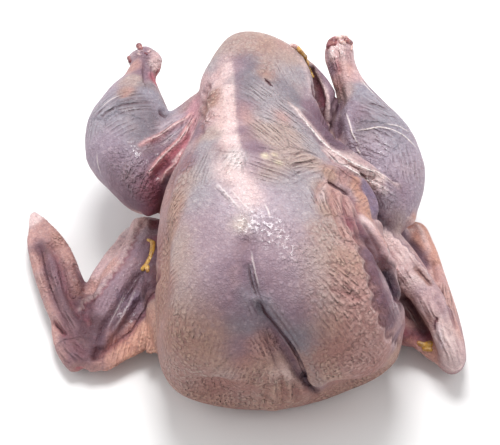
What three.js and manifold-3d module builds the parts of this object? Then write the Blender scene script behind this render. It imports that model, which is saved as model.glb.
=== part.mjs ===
// A whole raw pheasant: plucked, drawn, without head and feet, lying on its back.
// Millimetres, +Z up. The breast is up, the neck end points along -Y and the tail along +Y.
// The origin is on the surface that the bird lies on, below the middle of its outline.

import * as THREE from 'three';
import { LoftGeometry } from 'three/addons/geometries/LoftGeometry.js';
import { mergeVertices } from 'three/addons/utils/BufferGeometryUtils.js';
import Module from 'manifold-3d';

const wasm = await Module();
wasm.setup();

// Driving dimensions of the trunk
const TRUNK_LENGTH = 177;
const TRUNK_FRONT = -85;
const BREAST_WIDTH = 105;
const BREAST_HEIGHT = 87;

// The legs
const HOCK_RADIUS = 6;
const CALF_RADIUS = 19;
const THIGH_RADIUS = 19;

// The wings
const SKIN_THICKNESS = 3;

// Mesh fineness
const TRUNK_RINGS = 35;
const TRUNK_POINTS = 45;
const END_GAP = 0.2;
const CROWDING = 0.65;

// Larger than the bird, so that nothing of it is left below the resting surface
const CUT_SIZE = 400;

const vec = (x, y, z) => new THREE.Vector3(x, y, z);
const UP = vec(0, 0, 1);

// A smooth curve through evenly or unevenly spaced [position, value] pairs, by a monotone cubic.
function smoothCurve(pairs) {
  const slopes = pairs.map((pair, i) => {
    if (i === 0 || i === pairs.length - 1) return 0;
    const before = (pair[1] - pairs[i - 1][1]) / (pair[0] - pairs[i - 1][0]);
    const after = (pairs[i + 1][1] - pair[1]) / (pairs[i + 1][0] - pair[0]);
    return before * after <= 0 ? 0 : (2 * before * after) / (before + after);
  });
  const ends = [0, pairs.length - 2];
  for (const i of ends) {
    const slope = (pairs[i + 1][1] - pairs[i][1]) / (pairs[i + 1][0] - pairs[i][0]);
    if (i === 0) slopes[0] = slope;
    if (i === pairs.length - 2) slopes[i + 1] = slope;
  }
  return (position) => {
    const last = pairs.length - 1;
    const x = Math.min(Math.max(position, pairs[0][0]), pairs[last][0]);
    let i = 0;
    while (i < last - 1 && x > pairs[i + 1][0]) i += 1;
    const span = pairs[i + 1][0] - pairs[i][0];
    const t = (x - pairs[i][0]) / span;
    const h00 = (1 + 2 * t) * (1 - t) ** 2;
    const h10 = t * (1 - t) ** 2;
    const h01 = t * t * (3 - 2 * t);
    const h11 = t * t * (t - 1);
    return h00 * pairs[i][1] + h10 * span * slopes[i] + h01 * pairs[i + 1][1] + h11 * span * slopes[i + 1];
  };
}

// A signed power, which turns a circle into a superellipse.
const signedPower = (value, power) => Math.sign(value) * Math.abs(value) ** power;

// A smooth step from 0 to 1.
function smoothStep(value, from, to) {
  const t = Math.min(Math.max((value - from) / (to - from), 0), 1);
  return t * t * (3 - 2 * t);
}

// How far a rounded end has opened at a share of the length: 0 at the tip, 1 once past the cap.
function capOpening(share, capShare, bluntness = 2) {
  const left = 1 - Math.min(share / capShare, 1);
  return Math.max(1 - left ** bluntness, 0) ** (1 / bluntness);
}

// The share of the length at which a ring stands. The rings crowd towards the two rounded ends.
function crowdedShare(index, rings) {
  const even = (index + END_GAP) / (rings + 2 * END_GAP);
  return THREE.MathUtils.lerp(even, 0.5 - 0.5 * Math.cos(Math.PI * even), CROWDING);
}

// A skin through rings of points, which wind clockwise as seen from the last one. Each end is closed by a
// fan to a tip, which is a ring of one repeated point.
function closedSkin(rings, firstTip, lastTip) {
  const tipRing = (tip) => rings[0].map(() => tip);
  const outward = rings.map((ring) => ring.slice().reverse());
  return new LoftGeometry([tipRing(firstTip), ...outward, tipRing(lastTip)]);
}

// A closed geometry as a manifold solid, without the slivers that a tip's repeated point leaves.
function solidOf(geometry) {
  const bare = new THREE.BufferGeometry();
  bare.setAttribute('position', geometry.getAttribute('position'));
  bare.setIndex(geometry.index);
  const merged = mergeVertices(bare, 1e-4);
  const corners = merged.index.array;
  const kept = [];
  for (let i = 0; i < corners.length; i += 3) {
    const [a, b, c] = corners.subarray(i, i + 3);
    if (a !== b && b !== c && c !== a) kept.push(a, b, c);
  }
  const solid = new wasm.Manifold(new wasm.Mesh({
    numProp: 3,
    vertProperties: merged.attributes.position.array,
    triVerts: new Uint32Array(kept),
  }));
  if (solid.volume() > 0) return solid;
  throw new Error('a piece of the bird is inside out');
}

// A manifold solid as a three.js geometry.
function geometryOf(solid) {
  const mesh = solid.getMesh();
  const geometry = new THREE.BufferGeometry();
  geometry.setAttribute('position', new THREE.BufferAttribute(mesh.vertProperties, 3));
  geometry.setIndex(new THREE.BufferAttribute(mesh.triVerts, 1));
  geometry.computeVertexNormals();
  return geometry;
}

// Stations along the trunk, from the neck end to the vent. Each is a share of the length, then shares of
// half the breast width and of the breast height, and sideways places in millimetres.
const trunkWidth = smoothCurve([
  [0, 0.97], [0.15, 1], [0.3, 0.955], [0.43, 0.914], [0.51, 0.867], [0.6, 0.73],
  [0.7, 0.62], [0.8, 0.55], [0.9, 0.46], [1, 0.4],
]);
const trunkCrest = smoothCurve([
  [0, 0.74], [0.07, 0.88], [0.18, 0.985], [0.31, 1], [0.48, 0.98],
  [0.65, 0.93], [0.82, 0.88], [0.93, 0.85], [1, 0.82],
]);
const trunkWidest = smoothCurve([[0, 0.4], [0.2, 0.43], [0.6, 0.48], [1, 0.58]]);
const trunkFloor = smoothCurve([[0, 0.12], [0.1, 0.0], [0.3, -0.03], [0.7, 0.04], [0.85, 0.18], [1, 0.34]]);
const trunkMiddle = smoothCurve([
  [0, 12], [0.15, 12], [0.3, 10], [0.43, 8.5], [0.6, 6.5], [0.8, 4.5], [1, 4],
]);
const crestShift = smoothCurve([[0, -3], [0.2, -9], [0.5, -11], [0.8, -7], [1, -3]]);
const trunkFullness = smoothCurve([[0, 2.3], [0.25, 2.3], [0.5, 2], [0.75, 1.85], [1, 2.1]]);
const FRONT_CAP = 0.15;
const REAR_CAP = 0.09;
const FRONT_BLUNTNESS = 2.8;
const FRONT_SKEW = 0.06;
const BACK_FULLNESS = 2.3;

// Soft swells and dents of the trunk: a centre, a reach and a height in millimetres, outward from the middle.
const TRUNK_SWELLS = [
  // the right breast lobe, and the slack neck skin below it
  { at: [36, -66, 50], reach: 24, height: 4 },
  { at: [6, -82, 50], reach: 16, height: -4.5 },
  { at: [12, -86, 28], reach: 16, height: -4.5 },
  { at: [-20, -84, 20], reach: 18, height: 0.5 },
  { at: [52, -80, 14], reach: 18, height: -2 },
  // the dip before the keel, and the ridge of the keel
  { at: [-2, -52, 88], reach: 15, height: -2 },
  { at: [-5, 0, 86], reach: 16, height: 1.5 },
  { at: [-5, 45, 82], reach: 16, height: 1.5 },
  // the hollow of each flank, and the rump beside the belly slit
  { at: [-28, 34, 50], reach: 18, height: -3 },
  { at: [33, 68, 45], reach: 17, height: 7 },
];

// A point of the trunk's skin, at a share of its length and an angle round it. The angle starts at the right
// side and goes over the crest.
function trunkPoint(share, angle) {
  const opening = capOpening(share, FRONT_CAP, FRONT_BLUNTNESS) * capOpening(1 - share, REAR_CAP);
  const half = (BREAST_WIDTH / 2) * trunkWidth(share) * opening;
  const widest = BREAST_HEIGHT * trunkWidest(share);
  const sine = Math.sin(angle);
  const isBreast = sine >= 0;
  const edge = BREAST_HEIGHT * (isBreast ? trunkCrest(share) : trunkFloor(share));
  const power = 2 / (isBreast ? trunkFullness(share) : BACK_FULLNESS);
  const lean = isBreast ? crestShift(share) * opening * sine ** 2 : 0;
  const across = signedPower(Math.cos(angle), power) * half + lean;
  const skew = FRONT_SKEW * across * (1 - smoothStep(share, 0, 0.4));
  const lift = Math.abs(sine) ** power * (edge - widest) * opening;
  return vec(trunkMiddle(share) + across, TRUNK_FRONT + TRUNK_LENGTH * share + skew, widest + lift);
}

// The same point with the swells and dents.
function swollenPoint(share, angle) {
  const point = trunkPoint(share, angle);
  const inner = THREE.MathUtils.clamp(share, 0.3, 0.75);
  const along = TRUNK_FRONT + TRUNK_LENGTH * inner;
  const middle = vec(trunkMiddle(inner), along, BREAST_HEIGHT * trunkWidest(inner));
  const outward = point.clone().sub(middle).normalize();
  const heights = TRUNK_SWELLS.map(({ at, reach, height }) => {
    const distance = point.distanceTo(vec(...at));
    return height * Math.exp(-((distance / reach) ** 2));
  });
  return point.addScaledVector(outward, heights.reduce((sum, height) => sum + height, 0));
}

// The trunk: breast, keel, flanks and back in one skin.
function trunk() {
  const rings = [];
  for (let i = 0; i <= TRUNK_RINGS; i += 1) {
    const share = crowdedShare(i, TRUNK_RINGS);
    const ring = [];
    for (let j = 0; j < TRUNK_POINTS; j += 1) {
      const angle = (j / TRUNK_POINTS) * 2 * Math.PI;
      ring.push(swollenPoint(share, angle));
    }
    rings.push(ring);
  }
  return closedSkin(rings, swollenPoint(0, 0), swollenPoint(1, 0));
}

// The creases cut into the trunk: the groove along the edge of the right breast lobe, with the neck skin
// folded under it, and the slit in the belly through which the bird was drawn.
function neckGroove() {
  return limb({
    stations: [
      { at: [2, -55, 87], wide: 0.6, deep: 1.5 },
      { at: [3, -68, 80], wide: 1, deep: 3 },
      { at: [5.5, -78, 69], wide: 1.6, deep: 4.5 },
      { at: [13.8, -83, 57], wide: 2, deep: 6 },
      { at: [20, -86, 44], wide: 2.2, deep: 7 },
      { at: [26, -87, 31], wide: 2.4, deep: 8 },
      { at: [29, -84, 17], wide: 2.4, deep: 9 },
    ],
    rings: 16,
    points: 8,
    upright: vec(0.2, -1, 0.3),
  });
}

function bellySlit() {
  return limb({
    stations: [
      { at: [18, 92, 61], wide: 2, deep: 7 },
      { at: [24, 82, 60], wide: 2.4, deep: 9 },
      { at: [28.5, 66, 60], wide: 2.8, deep: 10 },
      { at: [31.5, 54, 60], wide: 2.2, deep: 8 },
      { at: [36.5, 42, 56], wide: 1, deep: 4 },
    ],
    rings: 12,
    points: 8,
    upright: vec(0.6, 0, 1),
  });
}

// A limb: a flattened tube through stations { at, wide, deep }. Wide is half its breadth across the given
// upright direction, and deep is half its thickness. Both ends are rounded over a share of the length.
function limb({ stations, rings, points, upright = UP, frontCap = 0.12, rearCap = 0.12 }) {
  const spine = new THREE.CatmullRomCurve3(stations.map((s) => vec(...s.at)), false, 'centripetal');
  const spots = stations.map((s, i) => i / (stations.length - 1));
  const wide = smoothCurve(stations.map((s, i) => [spots[i], s.wide]));
  const deep = smoothCurve(stations.map((s, i) => [spots[i], s.deep]));
  const sections = [];
  for (let i = 0; i <= rings; i += 1) {
    const share = crowdedShare(i, rings);
    const opening = capOpening(share, frontCap) * capOpening(1 - share, rearCap);
    const centre = spine.getPoint(share);
    const along = spine.getTangent(share);
    const side = vec().crossVectors(along, upright).normalize();
    const top = vec().crossVectors(side, along).normalize();
    const ring = [];
    for (let j = 0; j < points; j += 1) {
      const angle = (j / points) * 2 * Math.PI;
      const across = Math.cos(angle) * wide(share) * opening;
      const rise = Math.sin(angle) * deep(share) * opening;
      ring.push(centre.clone().addScaledVector(side, across).addScaledVector(top, rise));
    }
    sections.push(ring);
  }
  return closedSkin(sections, spine.getPoint(0), spine.getPoint(1));
}

// The rump and tail stub, below and behind the belly.
function rump() {
  return limb({
    stations: [
      { at: [8, 26, 26], wide: 30, deep: 26 },
      { at: [9, 52, 25], wide: 31, deep: 24 },
      { at: [9, 72, 25], wide: 25, deep: 20 },
      { at: [9, 87, 25], wide: 14, deep: 12 },
      { at: [9, 97, 27], wide: 9.5, deep: 7.5 },
      { at: [9, 106, 30], wide: 6, deep: 5 },
    ],
    rings: 13,
    points: 18,
  });
}

// Each drumstick runs from the knee, beside the breast, back to the cut hock.
function leftDrumstick() {
  const calf = limb({
    stations: [
      { at: [-41, 8, 36], wide: 4.5, deep: 11 },
      { at: [-44.5, 17, 37.5], wide: 9.5, deep: 14 },
      { at: [-50, 29, 39], wide: 15.6, deep: CALF_RADIUS * 0.85 },
      { at: [-54, 42, 40], wide: CALF_RADIUS + 0.6, deep: CALF_RADIUS * 0.9 },
      { at: [-54, 56, 41], wide: CALF_RADIUS + 0.6, deep: CALF_RADIUS * 0.87 },
      { at: [-53, 68, 42], wide: 15.5, deep: 14 },
      { at: [-51.5, 78, 43], wide: 10.5, deep: 10 },
      { at: [-49.5, 86, 44], wide: HOCK_RADIUS + 0.8, deep: HOCK_RADIUS + 0.5 },
      { at: [-47.2, 93, 45], wide: HOCK_RADIUS + 1.2, deep: HOCK_RADIUS + 0.5 },
      { at: [-46.2, 100, 45], wide: HOCK_RADIUS - 0.5, deep: HOCK_RADIUS - 1 },
    ],
    rings: 22,
    points: 18,
    rearCap: 0.05,
  });
  const knuckle = limb({
    stations: [
      { at: [-47, 95, 45], wide: 4, deep: 4.5 },
      { at: [-53.5, 94.5, 45.5], wide: 4, deep: 4.5 },
      { at: [-57, 96, 45.5], wide: 2.5, deep: 3 },
    ],
    rings: 6,
    points: 10,
    rearCap: 0.3,
  });
  return [calf, knuckle];
}

function rightDrumstick() {
  const calf = limb({
    stations: [
      { at: [62.5, -1, 33], wide: 4.5, deep: 10 },
      { at: [62.3, 9, 35], wide: 10, deep: 13 },
      { at: [61.5, 19, 36], wide: 14.5, deep: CALF_RADIUS * 0.78 },
      { at: [59.5, 30, 38], wide: 17.5, deep: CALF_RADIUS * 0.85 },
      { at: [56.5, 42, 40], wide: 18, deep: CALF_RADIUS * 0.85 },
      { at: [53, 53, 43], wide: 15, deep: CALF_RADIUS * 0.74 },
      { at: [49, 64, 45], wide: 10.5, deep: 10.5 },
      { at: [44.5, 75, 48], wide: HOCK_RADIUS + 1, deep: HOCK_RADIUS + 1.4 },
      { at: [41.5, 86, 50], wide: HOCK_RADIUS + 0.5, deep: HOCK_RADIUS + 0.6 },
      { at: [41, 97, 51], wide: HOCK_RADIUS + 0.8, deep: HOCK_RADIUS + 0.8 },
    ],
    rings: 22,
    points: 18,
    rearCap: 0.03,
  });
  const knuckle = limb({
    stations: [
      { at: [36, 93, 53], wide: 3, deep: 3.5 },
      { at: [39.5, 95.5, 53], wide: 3.6, deep: 4 },
      { at: [44, 96, 52], wide: 3.6, deep: 4 },
      { at: [46.5, 95, 51.5], wide: 2, deep: 2.5 },
    ],
    rings: 6,
    points: 10,
  });
  return [calf, knuckle];
}

// Each thigh folds back from the knee to the hip, under the drumstick.
function thigh(knee, hip) {
  return limb({
    stations: [
      { at: knee, wide: THIGH_RADIUS * 0.6, deep: THIGH_RADIUS * 0.7 },
      { at: knee.map((k, i) => (k + hip[i]) / 2), wide: THIGH_RADIUS, deep: THIGH_RADIUS },
      { at: hip, wide: THIGH_RADIUS * 0.9, deep: THIGH_RADIUS * 0.9 },
    ],
    rings: 9,
    points: 16,
    frontCap: 0.3,
    rearCap: 0.3,
  });
}

// The left wing lies open on the surface, its underside up.
function leftWing() {
  const upperArm = limb({
    stations: [
      { at: [-26, -58, 20], wide: 12, deep: 12 },
      { at: [-36, -30, 16], wide: 9, deep: 11 },
      { at: [-42, 14, 13], wide: 9, deep: 10 },
    ],
    rings: 8,
    points: 12,
  });
  const forearm = limb({
    stations: [
      { at: [-42, 24, 11], wide: 8, deep: 8 },
      { at: [-46, 10, 12], wide: 10, deep: 9 },
      { at: [-53, -8, 11], wide: 12, deep: 9 },
      { at: [-59, -25, 10], wide: 10.5, deep: 8 },
      { at: [-64, -42, 8], wide: 6.5, deep: 6.5 },
      { at: [-68, -55, 7], wide: 4.5, deep: 5 },
    ],
    rings: 16,
    points: 16,
  });
  const trailingSkin = limb({
    stations: [
      { at: [-49, 26, 7], wide: 4.5, deep: SKIN_THICKNESS },
      { at: [-57, 13, 7], wide: 6.5, deep: SKIN_THICKNESS },
      { at: [-64, -3, 7], wide: 6.5, deep: SKIN_THICKNESS },
      { at: [-70, -18, 7], wide: 5.8, deep: SKIN_THICKNESS },
      { at: [-74, -32, 6], wide: 5, deep: SKIN_THICKNESS },
    ],
    rings: 12,
    points: 10,
  });
  const hand = limb({
    stations: [
      { at: [-69.5, -53, 8], wide: 6, deep: 5.5 },
      { at: [-73, -43, 8], wide: 7, deep: 5.5 },
      { at: [-77, -31, 8], wide: 8, deep: 5.5 },
      { at: [-81.5, -16, 7.5], wide: 9.6, deep: 5 },
      { at: [-86, 0, 7], wide: 10.4, deep: 4.5 },
      { at: [-91, 14, 7], wide: 9, deep: 4 },
      { at: [-95.5, 26, 6.5], wide: 5.2, deep: 3 },
      { at: [-98, 34, 6], wide: 1.5, deep: 1.5 },
    ],
    rings: 18,
    points: 16,
    rearCap: 0.04,
  });
  const thumb = limb({
    stations: [
      { at: [-72, -53, 6], wide: 5, deep: 4 },
      { at: [-79, -43, 6], wide: 4.5, deep: 4 },
      { at: [-85.5, -28, 6], wide: 1.8, deep: 2.2 },
    ],
    rings: 8,
    points: 10,
  });
  const frontSkin = limb({
    stations: [
      { at: [-66, -54, 7], wide: 4, deep: SKIN_THICKNESS },
      { at: [-56, -41, 8], wide: 9, deep: SKIN_THICKNESS },
      { at: [-47, -33, 10], wide: 14, deep: SKIN_THICKNESS },
      { at: [-34, -34, 14], wide: 20, deep: SKIN_THICKNESS },
    ],
    rings: 10,
    points: 12,
  });
  return [upperArm, forearm, trailingSkin, hand, thumb, frontSkin];
}

// The right wing is folded, with the hand laid over the forearm.
function rightWing() {
  const upperArm = limb({
    stations: [
      { at: [50, -54, 24], wide: 10, deep: 12 },
      { at: [55, -30, 22], wide: 8, deep: 13 },
      { at: [58, -8, 20], wide: 8, deep: 12 },
      { at: [66, 16, 14], wide: 9, deep: 10 },
    ],
    rings: 10,
    points: 12,
  });
  const forearm = limb({
    stations: [
      { at: [69, 23, 11], wide: 9, deep: 9 },
      { at: [73.5, 6, 11], wide: 9.5, deep: 9 },
      { at: [78.5, -14, 10.5], wide: 9, deep: 8 },
      { at: [82.5, -32, 10], wide: 8.5, deep: 7.5 },
      { at: [85.5, -48, 9], wide: 7, deep: 7 },
      { at: [86.5, -57, 9], wide: 4.5, deep: 5 },
    ],
    rings: 16,
    points: 14,
  });
  const hand = limb({
    stations: [
      { at: [88, -59, 13], wide: 4, deep: 5 },
      { at: [85, -50, 17], wide: 6, deep: 5.5 },
      { at: [81, -38, 21], wide: 6.6, deep: 5.5 },
      { at: [74.5, -27, 25], wide: 7.2, deep: 5 },
      { at: [67, -14, 29], wide: 7.2, deep: 4.5 },
      { at: [59, -2, 33], wide: 5.6, deep: 4 },
      { at: [51, 7, 36], wide: 1.8, deep: 2 },
    ],
    rings: 18,
    points: 14,
    rearCap: 0.06,
  });
  const frontSkin = limb({
    stations: [
      { at: [58, -38, 16], wide: 7, deep: SKIN_THICKNESS },
      { at: [68, -34, 12], wide: 9, deep: SKIN_THICKNESS },
      { at: [77, -40, 9], wide: 8, deep: SKIN_THICKNESS },
      { at: [84, -50, 8], wide: 6, deep: SKIN_THICKNESS },
    ],
    rings: 10,
    points: 12,
  });
  const armpit = limb({
    stations: [
      { at: [66, 12, 9], wide: 8, deep: 5 },
      { at: [69, -10, 8], wide: 11, deep: 5 },
      { at: [71, -30, 8], wide: 12, deep: 5 },
      { at: [74, -42, 8], wide: 9, deep: 4 },
    ],
    rings: 8,
    points: 10,
  });
  return [upperArm, forearm, hand, frontSkin, armpit];
}

// The stretched skin between each flank and leg. On the right it hangs from a taut upper edge, with a slack
// roll of skin below it.
function webs() {
  const left = limb({
    stations: [
      { at: [-10, 53, 57], wide: 17, deep: 6 },
      { at: [-22, 47, 53], wide: 18, deep: 6 },
      { at: [-34, 38, 48], wide: 19, deep: 6 },
      { at: [-46, 31, 43], wide: 18, deep: 7 },
    ],
    rings: 12,
    points: 14,
    upright: vec(-0.4, 0.1, 1),
  });
  const right = limb({
    stations: [
      { at: [15, 40, 68], wide: 4, deep: 5 },
      { at: [22, 35, 67], wide: 5, deep: 6 },
      { at: [29, 27, 64], wide: 5.5, deep: 6.5 },
      { at: [36, 21, 60.5], wide: 6, deep: 7 },
      { at: [44, 17, 55], wide: 6.5, deep: 7.5 },
      { at: [52, 14.5, 49], wide: 6.5, deep: 8 },
      { at: [59, 9.5, 43], wide: 6, deep: 8 },
      { at: [63, 3, 36], wide: 5, deep: 7 },
    ],
    rings: 13,
    points: 10,
  });
  const roll = limb({
    stations: [
      { at: [27, -3, 74.5], wide: 3, deep: 3 },
      { at: [35, 2, 69.5], wide: 4.2, deep: 4 },
      { at: [43, 4, 63], wide: 4.6, deep: 4.4 },
      { at: [49, -1, 57], wide: 4.6, deep: 4.4 },
      { at: [52.5, -10, 53], wide: 3.4, deep: 3.4 },
    ],
    rings: 10,
    points: 10,
  });
  return [left, right, roll];
}

// Everything below the resting surface is cut away.
function groundCut() {
  const block = new THREE.BoxGeometry(CUT_SIZE, CUT_SIZE, CUT_SIZE);
  block.translate(0, 0, -CUT_SIZE / 2);
  return block;
}

function pheasant() {
  const pieces = [
    trunk(),
    rump(),
    ...leftDrumstick(),
    ...rightDrumstick(),
    thigh([-42, 14, 35], [-14, 48, 32]),
    thigh([60, 10, 31], [28, 46, 29]),
    ...leftWing(),
    ...rightWing(),
    ...webs(),
  ];
  const joined = pieces.map(solidOf).reduce((whole, piece) => whole.add(piece));
  const cuts = [neckGroove(), bellySlit(), groundCut()];
  return cuts.map(solidOf).reduce((whole, cut) => whole.subtract(cut), joined);
}

const skin = new THREE.MeshStandardMaterial({ color: 0xa89296, roughness: 0.45, metalness: 0 });
const bird = new THREE.Mesh(geometryOf(pheasant()), skin);
bird.name = 'pheasant';

// The origin goes below the middle of the bird's outline.
const box = new THREE.Box3().setFromObject(bird);
const middle = box.getCenter(vec());
bird.position.set(-middle.x, -middle.y, 0);

const part = new THREE.Group();
part.add(bird);

export default part;
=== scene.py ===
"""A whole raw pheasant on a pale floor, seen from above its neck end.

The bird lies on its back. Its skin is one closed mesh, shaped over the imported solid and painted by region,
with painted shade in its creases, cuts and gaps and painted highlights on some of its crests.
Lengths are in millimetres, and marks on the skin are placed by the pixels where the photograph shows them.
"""

import logging
import math
from collections.abc import Sequence
from dataclasses import dataclass, field
from enum import Enum

import bpy
import numpy as np
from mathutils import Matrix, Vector
from mathutils.bvhtree import BVHTree


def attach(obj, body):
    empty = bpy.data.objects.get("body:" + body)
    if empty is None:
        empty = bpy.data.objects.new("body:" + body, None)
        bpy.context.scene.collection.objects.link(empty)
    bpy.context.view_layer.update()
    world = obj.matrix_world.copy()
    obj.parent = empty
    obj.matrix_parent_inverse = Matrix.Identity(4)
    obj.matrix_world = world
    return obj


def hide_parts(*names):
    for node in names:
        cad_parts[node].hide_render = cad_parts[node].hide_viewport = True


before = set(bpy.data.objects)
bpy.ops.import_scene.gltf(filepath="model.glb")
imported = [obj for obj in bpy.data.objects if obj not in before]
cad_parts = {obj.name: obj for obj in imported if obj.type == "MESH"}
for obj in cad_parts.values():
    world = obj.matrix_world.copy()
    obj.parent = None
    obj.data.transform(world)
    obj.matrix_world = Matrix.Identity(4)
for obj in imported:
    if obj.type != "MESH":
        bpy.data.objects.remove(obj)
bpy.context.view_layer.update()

LOG = logging.getLogger("pheasant")
MM = 0.001

# How far round a pixel that shows the floor the bird is looked for, in pixels, and in how many directions
SEARCH_REACH = 14
SEARCH_TURNS = 6

# How far a stroke's rise, its paint and its lean reach, in widths of the stroke
RISE_REACH = 2.6
PAINT_REACH = 2.2
LEAN_REACH = 1.6

# At how many places along a line the skin's direction is taken
FACING_SAMPLES = 20

# How far from a fine line its distance and its ink are kept, and the distance that stands for no line
LINE_REACH = 3.2
INK_REACH = 3.0
NO_LINE = 9.0

# How far apart the noise of two fields of wrinkles is read, so that no two fields look the same
FIELD_GAP = 7.3

TINY = 1e-9

Pixel = tuple[float, float]
Place = tuple[float, float, float]
Rgba = tuple[float, float, float, float]

# A pixel of the photograph, or a place in millimetres, and after it a reach in millimetres and a strength
Dab = tuple[float, ...]


def linear(shade: float) -> float:
    """The linear value of one sRGB channel from 0 to 255."""
    share = shade / 255
    return share / 12.92 if share <= 0.04045 else ((share + 0.055) / 1.055) ** 2.4


def unit(rows: np.ndarray) -> np.ndarray:
    """Vectors, one a row, brought to the length 1."""
    return rows / np.maximum(np.linalg.norm(rows, axis=1, keepdims=True), TINY)


def fade(distance: np.ndarray, reach: float, power: int = 2) -> np.ndarray:
    """Weights that fall from 1 to nothing about a reach, the more suddenly the higher the power."""
    return np.exp(-((distance / reach) ** power))


def ease_in(share: np.ndarray, taper: float) -> np.ndarray:
    """Weights that rise from 0 to 1 over the taper at both ends of a line, by shares of its length."""
    return np.clip(np.minimum(share, 1 - share) / taper, 0, 1)


def lengths(samples: np.ndarray) -> np.ndarray:
    """How far along a line each of its samples lies."""
    return np.concatenate([[0], np.cumsum(np.linalg.norm(np.diff(samples, axis=0), axis=1))])


class Tone(Enum):
    """The colours of the bird, as sRGB values."""

    KEEL_PINK = (238, 209, 207)
    # painted highlight: a near white laid where light falls on the keel, across the breast and on the right
    # hock, and against the leg's shadow on the left wing
    KEEL_WHITE = (240, 226, 226)
    # pale sinews and veins, and painted highlights along crests, in the fine lines
    SINEW_WHITE = (252, 238, 236)
    BELLY_GREY = (163, 156, 163)
    BELLY_TAN = (177, 156, 150)
    LILAC = (168, 147, 157)
    PALE_LILAC = (185, 169, 181)
    BREAST_TAN = (170, 134, 120)
    WARM_TAN = (176, 142, 128)
    ROSE = (186, 144, 139)
    NECK_BROWN = (160, 114, 106)
    BLUE_GREY = (122, 118, 128)
    PLUM = (101, 77, 94)
    THIGH_VIOLET = (126, 110, 136)
    ARM_MAUVE = (100, 72, 88)
    PURPLE_GREY = (131, 107, 122)
    # painted shade in creases, grooves and the gaps between wings, legs and trunk
    DUSKY = (78, 50, 64)
    DARK_RED = (74, 34, 44)
    # painted shadow along the lip of the breast groove and in the right armpit
    DEEP_VIOLET = (52, 36, 54)
    # painted shade on the knob in the right armpit
    CAVITY_RED = (34, 16, 22)
    # painted shade in creases and wrinkles
    CREASE_BROWN = (100, 64, 68)
    WINE = (120, 60, 74)
    WEB_PINK = (190, 140, 150)
    RED = (182, 88, 100)
    TENDON_PINK = (224, 158, 158)
    LEG_GREY = (151, 148, 161)
    LEG_LILAC = (166, 151, 167)
    HOCK_PINK = (206, 172, 174)
    WING_PINK = (204, 158, 152)
    WING_ORANGE = (204, 152, 136)
    # a peach lighter than the skin: painted light on wing skin that faces away from the lamps
    WING_PEACH = (228, 166, 144)
    ROLL_ORANGE = (196, 146, 128)
    WING_LILAC = (150, 124, 137)
    WING_MAUVE = (118, 86, 97)
    WING_PLUM = (86, 58, 68)
    FAT = (206, 158, 62)
    OLD_FAT = (166, 116, 46)
    FLESH = (160, 98, 98)
    CREAM = (232, 214, 186)

    @property
    def colour(self) -> np.ndarray:
        """The tone as linear red, green and blue."""
        return np.array([linear(channel) for channel in self.value])

    @property
    def rgba(self) -> Rgba:
        """The tone as the value of a colour socket."""
        return (*self.colour, 1.0)


# A tone and the dabs that are made with it
ToneDabs = tuple[Tone, Sequence[Dab]]


@dataclass(frozen=True)
class PhotoView:
    """The photograph's view: where its camera stands and what its pixels look at."""

    target: Place = (4.0, -10.9, 40.0)
    distance: float = 800.0
    elevation: float = 50.0
    pixel_size: float = 0.43
    width: float = 500.0
    height: float = 445.0
    sensor: float = 36.0

    @property
    def forward(self) -> np.ndarray:
        """The direction in which the camera looks."""
        lift = math.radians(self.elevation)
        return np.array([0.0, math.cos(lift), -math.sin(lift)])

    @property
    def upward(self) -> np.ndarray:
        """The direction that points up in the picture."""
        lift = math.radians(self.elevation)
        return np.array([0.0, math.sin(lift), math.cos(lift)])

    @property
    def eye(self) -> np.ndarray:
        """Where the camera stands, in millimetres."""
        return np.array(self.target) - self.forward * self.distance

    def ray(self, pixel: Pixel) -> np.ndarray:
        """The direction from the camera through a pixel."""
        across = (pixel[0] - self.width / 2) * self.pixel_size
        rise = (self.height / 2 - pixel[1]) * self.pixel_size
        way = self.forward * self.distance + np.array([across, 0.0, 0.0]) + self.upward * rise
        return way / np.linalg.norm(way)

    def add_camera(self) -> None:
        """Adds the camera and makes it the scene's."""
        data = bpy.data.cameras.new("photo_camera")
        data.sensor_width = self.sensor
        data.lens = self.distance / (self.pixel_size * self.width) * self.sensor
        camera = bpy.data.objects.new("photo_camera", data)
        camera.location = Vector(self.eye) * MM
        camera.rotation_euler = (math.radians(90 - self.elevation), 0, 0)
        bpy.context.scene.collection.objects.link(camera)
        bpy.context.scene.camera = camera


class Wire:
    """A shader socket that can be added, multiplied and compared like a number."""

    def __init__(self, graph: "Graph", socket: bpy.types.NodeSocket) -> None:
        """Wraps a socket of a graph."""
        self.graph = graph
        self.socket = socket

    def __add__(self, other: "Wire | float") -> "Wire":
        """The sum."""
        return self.graph.math("ADD", self, other)

    __radd__ = __add__

    def __sub__(self, other: "Wire | float") -> "Wire":
        """The difference."""
        return self.graph.math("SUBTRACT", self, other)

    def __rsub__(self, other: float) -> "Wire":
        """The difference, the other way round."""
        return self.graph.math("SUBTRACT", other, self)

    def __mul__(self, other: "Wire | float") -> "Wire":
        """The product."""
        return self.graph.math("MULTIPLY", self, other)

    __rmul__ = __mul__

    def __pow__(self, other: float) -> "Wire":
        """The power."""
        return self.graph.math("POWER", self, other)

    def __abs__(self) -> "Wire":
        """The value without its sign."""
        return self.graph.math("ABSOLUTE", self, 0.0)

    def step(self, low: float, high: float) -> "Wire":
        """A smooth step from 0 at low to 1 at high, which may run downward."""
        return self.graph.node(
            "ShaderNodeMapRange",
            {"interpolation_type": "SMOOTHSTEP"},
            {"Value": self, "From Min": low, "From Max": high},
        )


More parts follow.
